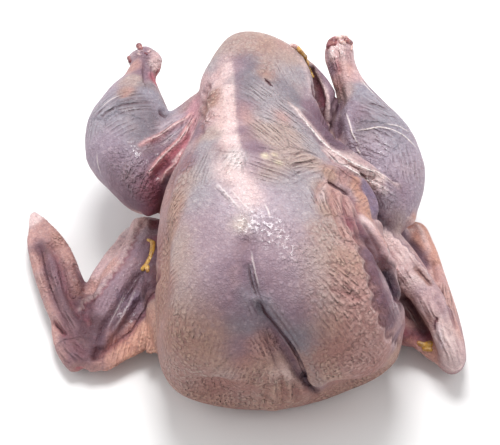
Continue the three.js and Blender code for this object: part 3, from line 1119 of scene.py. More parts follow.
NUDGES = (
    Nudge((250, 40), 22, up=1.8),
    Nudge((230, 45), 14, up=0.8, right=-0.5),
    Nudge((318, 78), 9, right=2.2, up=-0.2),
    Nudge((328, 96), 8, right=2.2),
    Nudge((333, 99), 4, right=1.3),
    Nudge((204, 78), 8, right=-1.6),
    Nudge((216, 50), 8, right=0.8, up=-0.5),
    Nudge((157, 50), 4, right=-1.0, up=-2.0),
    Nudge((130, 54), 3.5, right=2.2, up=-1.8),
    Nudge((125, 72), 6, right=1.0, up=-1.0),
    Nudge((108, 92), 12, right=1.2, up=-1.0),
    Nudge((180, 108), 5, right=0.8, up=-1.5),
    Nudge((105, 188), 10, right=0.8, up=1.0),
    Nudge((84, 287), 4, up=-2.0),
    Nudge((75, 280), 6, right=1.4, up=0.6),
    Nudge((110, 258), 7, right=0.9, up=-0.5),
    Nudge((148, 206), 6, up=-4.0),
    Nudge((149, 218), 6, up=2.2),
    Nudge((137, 221), 6, right=-1.4, up=1.4),
    Nudge((34, 216), 4, right=-1.0, up=1.0),
    Nudge((340, 40), 5, up=1.2),
    Nudge((328, 55), 5, right=-1.0),
    Nudge((422, 170), 12, right=0.9),
    Nudge((384, 103), 10, right=-0.5, up=-0.7),
    Nudge((160, 245), 17, right=2.0),
    Nudge((157, 228), 9, right=2.0),
    Nudge((157, 250), 10, right=2.4),
    Nudge((156, 275), 10, right=1.8),
    Nudge((153, 318), 18, right=5.0),
    Nudge((162, 375), 14, right=2.6, up=3.0),
    Nudge((210, 402), 14, up=5.0),
    Nudge((245, 406), 9, up=2.0),
    Nudge((209, 404), 9, up=1.8),
    Nudge((178, 390), 8, up=1.0),
    Nudge((274, 408), 5, up=-1.4),
    Nudge((338, 400), 15, up=6.0),
    Nudge((325, 402), 3.5, up=1.4),
    Nudge((316, 407), 6, up=1.4),
    Nudge((349, 399), 10, up=3.0),
    Nudge((374, 388), 7, up=1.4),
    Nudge((385, 386), 11, right=-1.0, up=3.4),
    Nudge((403, 352), 13, right=-4.4, up=0.6),
    Nudge((181, 106), 4, up=-1.2),
    Nudge((167, 186), 7, right=1.8),
    Nudge((390, 278), 5.5, near=-4.5),
    Nudge((396, 292), 4, near=-2.5),
    Nudge((224, 405), 12, up=3.0),
    Nudge((204, 401), 8, up=1.5),
    Nudge((331, 400), 7, up=3.0),
    Nudge((346, 395), 6, up=1.5),
    Nudge((117, 241), 6, right=1.8, up=-1.2),
    Nudge((385, 262), 4.5, near=-2.5),
    Nudge((164, 202), 7, right=1.6),
)

# Soft patches of tone, by region; the ones noted below hold painted shade and painted light

PATCHES: tuple[ToneDabs, ...] = (
    # belly, and the wall beside its slit
    (Tone.BELLY_TAN, (
        (225, 50, 6, 1), (245, 42, 7, 1), (284, 56, 6, 1), (212, 134, 4, 1), (267, 62, 4, 1),
        (266, 132, 6, 1.1), (285, 135, 7, 1.1), (272, 170, 5, 0.8), (288, 160, 5, 0.8), (305, 160, 5, 0.9),
    )),
    (Tone.WARM_TAN, ((268, 45, 7, 0.8), (268, 75, 4, 0.4))),
    (Tone.ROSE, (
        (283, 46, 4, 0.8), (220, 150, 4, 0.7), (247, 118, 4, 0.6), (282, 117, 4.5, 0.25), (243, 110, 3, 1),
    )),
    (Tone.BELLY_GREY, (
        (216, 62, 5, 0.9), (216, 152, 3.5, 1.2), (204, 148, 5, 1), (208, 170, 6, 1), (284, 72, 6, 1),
        (296, 82, 6, 1), (262, 95, 6, 1), (278, 96, 6, 1.2), (262, 115, 5, 0.9), (298, 112, 5, 1),
        (304, 130, 5, 1), (312, 145, 5, 1), (305, 175, 5, 0.9), (288, 182, 6, 0.9), (300, 72, 3, 1),
    )),
    (Tone.HOCK_PINK, ((204, 82, 4, 0.9), (222, 60, 4, 1), (215, 77, 3, 1), (209, 118, 3.5, 1))),
    # the keel's pale pink band: partly its pale skin, partly a painted highlight on its left face
    (Tone.KEEL_PINK, (
        (224, 75, 4, 1), (229, 67, 3, 1.2), (227, 92, 4, 0.9), (227, 108, 4, 1), (228, 125, 4, 1),
        (232, 142, 4, 1.3), (220, 166, 4, 0.9), (232, 175, 5, 1.3), (240, 192, 4.5, 1),
    )),
    (Tone.BLUE_GREY, (
        (286, 86, 5, 1.1), (291, 100, 5, 1.2), (250, 60, 5, 1), (240, 76, 4, 1), (250, 80, 5, 0.8),
        (244, 92, 4, 0.9), (243, 84, 3, 1),
    )),
    # a painted highlight on the keel
    (Tone.KEEL_WHITE, ((235, 158, 4, 1.3),)),
    (Tone.BREAST_TAN, ((212, 100, 4, 1),)),
    (Tone.PURPLE_GREY, (
        (199, 128, 4, 0.9), (240, 60, 4, 0.7), (246, 106, 4, 0.9), (246, 132, 4, 0.9), (250, 146, 5, 0.9),
        (308, 116, 4, 1.6), (308, 108, 3.5, 1.6), (320, 72, 3, 1.1), (331, 100, 3, 1.1), (330, 115, 2.5, 1.1),
        (312, 106, 3, 1.6),
    )),
    (Tone.LILAC, ((252, 163, 5, 0.9), (236, 66, 3, 0.8), (306, 92, 3.5, 1), (326, 86, 3, 1.1))),
    (Tone.PLUM, (
        (322, 122, 3.5, 2.5), (315, 120, 3.5, 2), (322, 131, 3.5, 2.6), (329, 139, 3.5, 2.4),
        (318, 116, 3, 2.4), (325, 126, 3, 2.4),
    )),
    (Tone.LEG_LILAC, ((350, 112, 5, 1.2),)),
    (Tone.NECK_BROWN, ((171, 284, 5, 0.8),)),
    (Tone.CREAM, ((265, 156, 1.2, 1.6), (275, 155, 1, 0.8), (279, 163, 1.3, 1.2))),
    # the slit's dark red inside: partly its flesh, partly painted shade
    (Tone.DARK_RED, ((316, 84, 1.4, 4), (319, 94, 1.7, 5), (322, 104, 1.7, 5), (326, 114, 1.5, 4))),
    # breast, neck skin and right flank
    (Tone.PALE_LILAC, ((222, 192, 6, 1), (228, 212, 7, 1), (258, 218, 6, 1), (280, 205, 9, 0.9))),
    (Tone.BELLY_GREY, ((205, 195, 7, 1), (302, 205, 8, 0.9))),
    (Tone.CREAM, ((240, 222, 4, 0.5),)),
    # the dab at (278, 376), low on the neck skin, is a painted highlight
    (Tone.KEEL_PINK, ((252, 200, 5, 0.9), (278, 376, 5, 1.1))),
    (Tone.LILAC, (
        (206, 225, 9, 1), (220, 245, 8, 1), (285, 235, 8, 1), (268, 255, 7, 1), (290, 262, 9, 1),
        (295, 290, 8, 0.8), (205, 275, 9, 0.9),
    )),
    (Tone.PURPLE_GREY, (
        (245, 245, 4, 1.1), (228, 268, 7, 1.1), (270, 262, 6, 0.9), (275, 285, 8, 0.9), (208, 300, 9, 0.5),
        (234, 308, 6, 0.9), (238, 348, 6, 0.9), (284, 318, 5, 0.9), (305, 310, 7, 0.8),
    )),
    (Tone.PLUM, ((243, 262, 5, 1),)),
    (Tone.BELLY_TAN, (
        (325, 230, 7, 1), (318, 260, 7, 0.9), (187, 182, 5, 0.9), (182, 240, 6, 0.9), (182, 270, 7, 0.9),
        (185, 300, 8, 0.9), (180, 376, 9, 0.9), (208, 376, 8, 0.7), (245, 395, 7, 0.9), (322, 295, 7, 0.9),
        (318, 185, 3.5, 1.1),
    )),
    (Tone.WARM_TAN, (
        (176, 205, 5, 1), (265, 370, 6, 1.8), (276, 384, 7, 1.8), (345, 265, 7, 1), (330, 375, 7, 0.9),
        (300, 386, 4, 1.2), (318, 380, 5, 1.2), (393, 358, 4, 1), (172, 388, 6, 1.2), (262, 405, 6, 1.2),
        (290, 404, 6, 1.2), (325, 210, 4, 1), (328, 173, 2.6, 1.3),
    )),
    (Tone.BREAST_TAN, (
        (172, 228, 5, 1), (168, 258, 5, 1), (164, 286, 7, 1.8), (200, 325, 10, 0.9), (172, 335, 9, 1),
        (205, 355, 10, 1), (312, 362, 6, 0.8), (325, 325, 7, 0.9), (200, 400, 6, 1.4), (230, 404, 6, 1.2),
        (330, 396, 6, 1.4), (365, 388, 6, 1.4), (390, 374, 6, 1.4),
    )),
    (Tone.NECK_BROWN, (
        (180, 375, 9, 0.7), (215, 385, 9, 0.8), (267, 345, 3, 1), (250, 345, 3, 0.8), (248, 360, 5, 1),
        (240, 388, 7, 1.1), (292, 392, 5, 1), (340, 345, 8, 0.9), (372, 372, 6, 0.9),
    )),
    (Tone.BLUE_GREY, (
        (238, 322, 5, 0.8), (250, 298, 4, 1.8), (264, 304, 3.5, 1.6), (275, 318, 3.5, 1.5),
        (288, 334, 3.5, 1.2), (305, 335, 6, 0.9),
    )),
    (Tone.ROSE, (
        (262, 345, 4, 0.9), (345, 285, 7, 1), (358, 305, 7, 1), (365, 330, 7, 1), (355, 365, 7, 0.8),
        (380, 342, 5, 1), (330, 190, 3.5, 1.2), (342, 205, 5, 1.3), (350, 238, 5, 1.1), (343, 178, 2.6, 1.4),
    )),
    (Tone.WINE, ((352, 222, 4.5, 0.6),)),
    (Tone.ROLL_ORANGE, ((354, 185, 2.6, 1.5), (362, 198, 3, 1.7), (365, 211, 2.5, 1.5))),
    # left leg, and the skin between it and the belly
    (Tone.HOCK_PINK, ((203, 92, 3.5, 1), (156, 58, 2.6, 1.8))),
    (Tone.WEB_PINK, (
        (197, 105, 4, 1), (190, 113, 3.5, 1), (196, 126, 3.5, 1.2), (190, 140, 3.5, 1.3),
        (186, 134, 2.5, 1.6),
    )),
    (Tone.PALE_LILAC, ((180, 118, 3.5, 0.9), (165, 127, 3.5, 0.9))),
    (Tone.PURPLE_GREY, (
        (190, 160, 4, 0.8), (160, 145, 4, 1), (146, 56, 3, 1.1), (143, 72, 3, 1.2), (147, 66, 2, 1.6),
        (115, 165, 7, 0.9), (140, 178, 6, 1), (118, 188, 7, 1),
    )),
    (Tone.LEG_LILAC, (
        (175, 132, 3.5, 1), (90, 148, 6, 1.1), (110, 140, 7, 1), (98, 168, 6, 1.1), (130, 160, 7, 0.7),
    )),
    # the plum dab low on the drumstick is painted shade
    (Tone.PLUM, ((150, 158, 4, 0.9), (135, 200, 7, 1))),
    # painted shade beside the tendons, low on the drumstick and in the gap beside the thigh
    (Tone.WINE, (
        (171, 152, 3, 1), (160, 168, 3, 1.3), (153, 182, 4, 1.2), (148, 205, 5, 1.6), (150, 190, 6, 1.2),
    )),
    (Tone.RED, ((178, 157, 2.4, 3.2), (160, 72, 2, 1.6), (154, 79, 2.6, 0.9))),
    (Tone.LILAC, ((164, 140, 3, 1.4),)),
    # painted shade between the thigh and the flank
    (Tone.DUSKY, ((160, 190, 3.5, 1.6), (164, 180, 2.5, 1.6))),
    (Tone.DARK_RED, ((156, 203, 4, 1.8),)),
    (Tone.BLUE_GREY, ((145, 84, 3, 1), (130, 103, 7, 0.8), (145, 120, 7, 1), (135, 137, 6, 0.8))),
    # a painted highlight on the hock's condyle
    (Tone.KEEL_PINK, ((154, 64, 2.2, 1.6),)),
    (Tone.ROSE, ((134, 66, 3, 1.1),)),
    (Tone.BELLY_TAN, ((133, 80, 4, 1.1),)),
    (Tone.WARM_TAN, ((125, 92, 3, 1),)),
    (Tone.LEG_GREY, (
        (152, 95, 4, 1), (160, 107, 4, 1), (105, 105, 6, 1.1), (94, 125, 6, 1.1), (120, 120, 7, 0.9),
    )),
    # right leg
    (Tone.RED, ((331, 42, 2.6, 1),)),
    (Tone.HOCK_PINK, (
        (346, 41, 3, 1.2), (330, 55, 2.6, 1.1), (340, 75, 3, 1), (340, 58, 3, 1.2), (350, 58, 3, 1),
        (355, 74, 3, 1.1), (366, 168, 3, 1.4), (358, 169, 3, 1.2),
    )),
    # the pale pink high on the hock and along the taut ridge to the knee is partly a painted highlight
    (Tone.KEEL_PINK, ((336, 52, 3, 1.4), (376, 176, 3, 1.6), (330, 152, 3, 1.2), (344, 160, 3, 1.4))),
    (Tone.WING_PINK, ((343, 66, 3, 1.3),)),
    (Tone.WING_ORANGE, ((346, 72, 3, 0.8),)),
    (Tone.PURPLE_GREY, ((333, 68, 3, 1.2), (362, 112, 5, 0.7), (400, 195, 7, 0.9))),
    (Tone.ROSE, ((338, 82, 3, 1),)),
    (Tone.PLUM, ((334, 90, 3, 1.2), (338, 105, 3, 1.4), (339, 128, 3.5, 1.4), (340, 145, 3.5, 1.4))),
    (Tone.BELLY_TAN, ((347, 92, 3, 1), (395, 220, 5, 0.8))),
    (Tone.LEG_LILAC, (
        (348, 130, 2.6, 1.2), (352, 148, 3, 1), (375, 145, 7, 0.9), (413, 155, 6, 1), (390, 165, 7, 0.9),
        (415, 180, 7, 1), (410, 205, 6, 0.9), (392, 196, 3.5, 1.4),
    )),
    (Tone.LEG_GREY, ((362, 92, 4, 1), (376, 108, 6, 1.1), (395, 120, 6, 1.1), (398, 145, 7, 0.9))),
    (Tone.BLUE_GREY, ((372, 125, 6, 0.8),)),
    (Tone.THIGH_VIOLET, ((366, 188, 2.6, 1.8), (373, 202, 4, 1.2), (379, 214, 4, 1))),
    # painted light that lifts the shade in the gap between the roll and the thigh
    (Tone.PALE_LILAC, ((381, 196, 2.6, 2), (385, 207, 3, 3), (388, 220, 3, 3))),
    # left wing
    # the two strong dabs at the band's top are painted light against the shadow that the leg casts there
    (Tone.KEEL_PINK, (
        (34, 219, 2.6, 1), (137, 222, 4, 4), (122, 243, 3.5, 3), (115, 254, 3.5, 2.4), (117, 238, 2.5, 2.4),
        (141, 215, 3, 4),
    )),
    (Tone.WING_PINK, (
        (29, 238, 3, 1.2), (35, 262, 3.5, 1.2), (54, 333, 3.5, 1.1), (135, 224, 4, 1.3), (108, 268, 4, 1.3),
        (93, 287, 3, 1.3),
    )),
    (Tone.ROSE, (
        (43, 285, 3.5, 1.2), (52, 307, 3.5, 1.2), (44, 228, 3.5, 1.3), (56, 242, 3.5, 1.4),
        (64, 256, 3.5, 1.6), (62, 355, 3.5, 1), (78, 368, 3, 1.1), (92, 372, 3.5, 1.1), (102, 366, 4, 1.1),
    )),
    (Tone.WING_MAUVE, (
        (66, 328, 3.5, 1), (58, 262, 3, 1), (70, 278, 4, 1.6), (50, 244, 2.5, 1.3), (52, 262, 3, 1.4),
        (56, 278, 3.5, 1.4), (72, 350, 5, 2), (86, 356, 4, 1.6), (93, 307, 3, 1.2),
    )),
    # the strong dab at (99, 348) is painted shade in the crease at the foot of the wing
    (Tone.WING_PLUM, (
        (80, 282, 3, 1.2), (80, 300, 4, 1.5), (43, 250, 3, 1.3), (63, 300, 4, 1.4), (75, 315, 4, 1.4),
        (84, 338, 4.5, 1.2), (95, 325, 4, 1.3), (150, 290, 4, 1.8), (99, 348, 3, 3),
    )),
    # painted light against the leg's shadow on the band
    (Tone.KEEL_WHITE, ((129, 233, 3.5, 3.2),)),
    (Tone.HOCK_PINK, ((110, 252, 3.5, 1.8), (100, 267, 3.5, 1.8), (122, 246, 4, 1.3))),
    (Tone.LILAC, ((146, 232, 4.5, 1.6),)),
    (Tone.WING_LILAC, ((136, 255, 4.5, 1.5), (120, 280, 4.5, 1.4), (105, 303, 4.5, 1.1))),
    # painted shadow in the gap between the wing and the trunk
    (Tone.DUSKY, ((152, 256, 3.5, 3), (152, 274, 3.5, 3.4), (151, 256, 4.5, 3), (149, 282, 4.5, 3))),
    (Tone.WINE, ((153, 238, 3, 1.6), (151, 218, 2.2, 1.5), (153, 222, 3, 1.4))),
    (Tone.PURPLE_GREY, ((143, 278, 3.5, 1.2), (116, 325, 4, 1.2), (138, 312, 4, 1.2), (122, 335, 3.5, 1.2))),
    (Tone.THIGH_VIOLET, ((130, 300, 4, 1.3),)),
    (Tone.PLUM, ((104, 342, 3.5, 1.2),)),
    (Tone.WING_ORANGE, ((150, 320, 4, 1.5), (115, 357, 4.5, 1.8))),
    # painted light on the skin in front that faces down
    (Tone.WING_PEACH, ((145, 336, 5, 3), (148, 344, 5, 3), (130, 345, 5.5, 4))),
    # right wing
    (Tone.KEEL_PINK, (
        (369, 226, 3, 1.5), (391, 242, 3, 1.6), (402, 256, 3, 1.4), (412, 284, 4, 1.2), (442, 332, 4.5, 1.4),
        (452, 358, 5, 1.3),
    )),
    (Tone.WING_PINK, ((380, 240, 3.5, 1.5), (442, 275, 4, 1.3), (452, 300, 4, 1.2), (460, 330, 4, 1.2))),
    (Tone.HOCK_PINK, (
        (392, 256, 3.5, 1.5), (404, 270, 4, 1.5), (427, 303, 4, 1.6), (440, 352, 4, 1.2), (463, 352, 4, 1.2),
    )),
    (Tone.WING_LILAC, ((416, 290, 3, 1.2),)),
    # the strong dab at (411, 322) is painted light that lifts the shade in the cavity
    (Tone.ROSE, ((410, 296, 3, 1.3), (428, 325, 3.5, 1.3), (411, 322, 4, 3))),
    # painted light on the rim that faces away from the lamps
    (Tone.WING_PEACH, ((416, 224, 4, 2), (427, 240, 4, 2))),
    (Tone.WING_ORANGE, ((434, 258, 3, 1.2), (428, 354, 3.5, 1.2))),
    # the dab at (368, 255) is painted shade in the armpit
    (Tone.PLUM, ((404, 236, 3, 1.5), (368, 255, 3, 1.6))),
    (Tone.WING_MAUVE, ((413, 248, 3, 1.4), (424, 258, 3, 1.3))),
    # painted shade in the armpit and the cavity
    (Tone.DUSKY, ((361, 236, 2.6, 1.5), (416, 330, 3, 1.8))),
    (Tone.ARM_MAUVE, ((373, 275, 3, 1.8), (381, 300, 3.2, 2), (387, 322, 3.2, 1.8))),
    (Tone.PURPLE_GREY, ((397, 338, 3, 1.2),)),
    # painted shade on the knob in the armpit
    (Tone.DARK_RED, ((376, 262, 2.2, 2.2), (387, 276, 2.8, 4), (394, 290, 3.2, 4), (385, 268, 2.4, 5))),
    (Tone.WINE, ((407, 318, 3.5, 2), (404, 330, 3, 1.6), (424, 336, 3, 1.4))),
    # painted shade on the armpit's knob, darker still
    (Tone.CAVITY_RED, ((390, 280, 2.6, 8), (396, 292, 2.6, 8), (392, 286, 2.4, 8))),
    (Tone.FLESH, ((412, 338, 3, 1.6),)),
    # the sides that the photograph doesn't show
    (Tone.NECK_BROWN, ((10, -40, 0, 45, 0.8),)),
    (Tone.WARM_TAN, ((12, 20, 5, 40, 0.8), (12, 92, 28, 10, 1), (-35, -50, 30, 15, 0.8))),
    (Tone.ROSE, ((12, 75, 15, 25, 0.8),)),
    (Tone.BELLY_TAN, ((10, 80, 60, 16, 1),)),
    (Tone.LEG_LILAC, ((-60, 40, 30, 20, 0.8), (75, 25, 30, 20, 0.8))),
    (Tone.WING_PINK, ((85, -20, 6, 15, 0.8),)),
)

# Where the skin is pimply, and where it is wet

PIMPLY_SPOTS: tuple[Dab, ...] = (
    (172, 215, 10, 0.7), (166, 250, 10, 0.9), (166, 290, 12, 1), (172, 335, 14, 1), (190, 375, 14, 1.2),
    (225, 390, 14, 1.1), (262, 385, 12, 0.9), (290, 392, 8, 0.9), (330, 235, 10, 0.6), (348, 262, 11, 0.75),
    (355, 290, 12, 0.85), (360, 325, 13, 1), (186, 168, 5, 1), (178, 188, 6, 1), (185, 400, 12, 1.1),
    (220, 405, 12, 1.1), (255, 406, 11, 1), (290, 406, 11, 1), (330, 400, 12, 1.1), (368, 391, 12, 1.2),
    (394, 373, 11, 1.1), (165, 385, 11, 1), (155, 350, 10, 1), (158, 300, 9, 0.9), (335, 362, 13, 1),
    (365, 365, 12, 1.1), (322, 300, 9, 0.45), (210, 100, 6, 1.2), (207, 120, 5, 1), (58, 242, 5, 0.9),
    (70, 265, 5, 0.9), (78, 292, 5, 0.8), (122, 246, 5, 0.35), (108, 268, 5, 0.45), (94, 287, 5, 0.5),
    (245, 45, 10, 0.4), (268, 68, 6, 0.6), (450, 300, 8, 0.5), (35, 262, 5, 0.6), (45, 288, 5, 0.6),
)

WET_SPOTS: tuple[Dab, ...] = (
    (236, 158, 5, 0.6), (253, 224, 7, 0.8), (267, 230, 8, 0.8), (284, 230, 7, 0.6), (303, 252, 9, 0.8),
    (122, 160, 9, 1), (128, 168, 9, 1), (140, 182, 9, 1), (163, 147, 8, 1), (170, 140, 8, 0.9),
    (178, 158, 6, 0.7), (355, 150, 8, 0.9), (370, 160, 8, 0.7), (384, 194, 7, 1), (400, 135, 12, 0.5),
    (125, 305, 10, 0.45), (140, 280, 9, 0.4), (56, 275, 8, 0.6), (393, 308, 4, 0.7), (340, 50, 8, 0.7),
    (157, 62, 6, 0.7), (320, 140, 14, 0.5), (228, 198, 8, 0.3), (250, 100, 16, 0.25), (110, 115, 12, 0.3),
    (420, 170, 12, 0.4), (405, 280, 9, 0.5), (345, 160, 14, 0.6),
)

# Fields of fine wrinkles: where each lies, where it runs to, its reach, pitch, stretch and strength

CREPE_FIELDS = (
    Crepe((262, 95), (275, 105), 10, 2.0, 5, 0.9),
    Crepe((282, 112), (298, 124), 11, 2.0, 5, 1.0),
    Crepe((270, 132), (284, 144), 10, 2.0, 4, 1.0),
    Crepe((297, 138), (310, 148), 9, 2.0, 4, 0.8),
    Crepe((285, 75), (296, 95), 10, 2.6, 5, 0.4),
    Crepe((272, 168), (288, 174), 10, 2.2, 4, 0.9),
    Crepe((303, 163), (318, 160), 9, 2.5, 4, 1.0),
    Crepe((222, 160), (212, 175), 9, 2.0, 4, 0.6),
    Crepe((206, 165), (200, 180), 10, 2.0, 4, 0.6),
    Crepe((175, 205), (169, 219), 9, 2.2, 3, 0.8),
    Crepe((170, 240), (163, 254), 9, 2.2, 3, 0.8),
    Crepe((170, 275), (166, 292), 9, 2.1, 2, 0.6),
    Crepe((176, 318), (173, 336), 10, 2.1, 1.4, 0.5),
    Crepe((202, 350), (199, 368), 11, 2.0, 1.4, 0.4),
    Crepe((184, 392), (178, 380), 8, 2.0, 1.4, 0.6),
    Crepe((222, 400), (221, 386), 9, 2.0, 1.4, 0.6),
    Crepe((256, 403), (255, 390), 8, 2.0, 1.4, 0.6),
    Crepe((350, 388), (346, 376), 9, 2.0, 1.6, 0.6),
    Crepe((386, 372), (379, 360), 8, 2.0, 1.6, 0.6),
    Crepe((264, 345), (270, 358), 7, 1.9, 1.1, 1.1),
    Crepe((272, 380), (273, 400), 8, 2.4, 4, 0.8),
    Crepe((240, 374), (230, 388), 10, 1.9, 1.4, 0.6),
    Crepe((205, 383), (200, 397), 9, 2.0, 1.4, 0.5),
    Crepe((326, 376), (336, 388), 9, 2.0, 2, 0.6),
    Crepe((366, 354), (376, 366), 9, 2.0, 2, 0.6),
    Crepe((168, 358), (166, 372), 9, 2.0, 2, 0.6),
    Crepe((282, 388), (284, 402), 9, 2.8, 6, 1.0),
    Crepe((322, 200), (330, 217), 7, 2.2, 3, 1.2),
    Crepe((338, 203), (346, 222), 8, 2.2, 4, 1.0),
    Crepe((346, 228), (355, 246), 8, 2.4, 4, 1.0),
    Crepe((330, 176), (328, 186), 6, 2.4, 2, 0.4),
    Crepe((350, 182), (343, 192), 6, 2.6, 1.4, 0.4),
    Crepe((361, 200), (352, 204), 6, 2.2, 2, 0.6),
    Crepe((335, 245), (348, 265), 10, 2.4, 5, 0.7),
    Crepe((345, 285), (360, 300), 10, 2.5, 4, 0.8),
    Crepe((338, 325), (352, 345), 12, 2.2, 2, 0.5),
    Crepe((105, 108), (122, 98), 9, 2.4, 5, 0.8),
    Crepe((132, 104), (150, 104), 9, 2.4, 5, 0.8),
    Crepe((93, 125), (100, 112), 8, 2.4, 5, 0.6),
    Crepe((120, 122), (138, 115), 9, 2.6, 5, 0.6),
    Crepe((140, 178), (150, 165), 9, 2.2, 4, 0.9),
    Crepe((170, 132), (182, 122), 8, 2.0, 5, 0.8),
    Crepe((192, 125), (186, 138), 8, 1.8, 5, 0.9),
    Crepe((342, 58), (345, 76), 6, 1.8, 5, 0.8),
    Crepe((337, 85), (340, 105), 7, 2.0, 4, 0.35),
    Crepe((378, 108), (395, 120), 10, 2.4, 3, 0.8),
    Crepe((375, 142), (392, 150), 11, 2.4, 2, 0.7),
    Crepe((405, 165), (408, 185), 11, 2.4, 2, 0.6),
    Crepe((326, 126), (333, 142), 7, 1.8, 5, 0.35),
    Crepe((360, 170), (380, 178), 8, 2.0, 6, 1.0),
    Crepe((385, 182), (400, 192), 8, 2.2, 5, 0.8),
    Crepe((56, 278), (62, 300), 8, 2.4, 5, 0.8),
    Crepe((42, 280), (50, 302), 6, 2.2, 3, 0.7),
    Crepe((72, 325), (84, 342), 8, 2.4, 5, 0.8),
    Crepe((70, 350), (80, 360), 7, 2.5, 3, 0.7),
    Crepe((130, 300), (118, 322), 9, 2.2, 6, 0.5),
    Crepe((148, 290), (136, 312), 7, 2.2, 6, 0.45),
    Crepe((108, 300), (98, 322), 7, 2.5, 6, 0.5),
    Crepe((142, 335), (142, 352), 9, 2.2, 6, 0.6),
    Crepe((120, 352), (118, 364), 8, 2.2, 6, 0.6),
    Crepe((400, 268), (416, 290), 8, 2.5, 4, 0.8),
    Crepe((385, 243), (395, 255), 6, 2.2, 4, 0.4),
    Crepe((425, 312), (434, 332), 7, 2.4, 4, 0.8),
    Crepe((448, 300), (457, 325), 8, 2.2, 5, 1.0),
    Crepe((446, 345), (452, 362), 8, 2.5, 4, 0.8),
    Crepe((376, 280), (384, 305), 6, 2.0, 6, 0.4),
    Crepe((386, 315), (391, 333), 6, 2.0, 6, 0.3),
    Crepe((405, 312), (414, 330), 7, 2.2, 5, 0.8),
)

# Lines that more than one table follows

# The strand below the taut ridge, which runs to the right knee
KNEE_STRAND = ((322, 149), (336, 161), (352, 170), (372, 182), (388, 194))
# The fine folds above the right flank
FLANK_FOLDS = (
    ((290, 160), (297, 154), (305, 152), (314, 154), (324, 160)),
    ((291, 168), (300, 163), (312, 162), (324, 166)),
    ((289, 178), (297, 174), (306, 168), (318, 168)),
)
# The wrinkles round the left drumstick
DRUMSTICK_WRINKLES = (
    ((90, 128), (98, 114), (110, 102), (124, 96), (140, 97)),
    ((96, 125), (106, 113), (120, 106), (138, 103), (154, 104)),
    ((102, 128), (114, 117), (130, 111), (146, 109)),
)
# The edge of the breast skin beside the folded wing
BREAST_EDGE = ((356, 232), (362, 250), (368, 266), (373, 285), (377, 305), (383, 320), (390, 334), (399, 343))
# The edge of the left wing's feather band
BAND_EDGE = (
    (146, 219), (139, 228), (135, 240), (130, 251), (124, 262), (115, 273), (105, 286), (97, 296), (88, 301),
    (84, 312),
)
# The right wing: the outer edge of its hand, the crease of its forearm and the nick between them
HAND_EDGE = ((372, 219), (384, 227), (392, 234), (400, 241), (410, 251), (420, 263), (428, 275), (434, 284))
FOREARM_CREASE = ((441, 288), (450, 308), (457, 330))
HAND_NICK = ((438, 316), (435, 323), (434, 331))

# Fine lines, pale where the ink is above zero and dark where it is below: the pale ones are partly pale sinews
# and veins and partly painted highlights on crests, the dark ones painted shade in creases

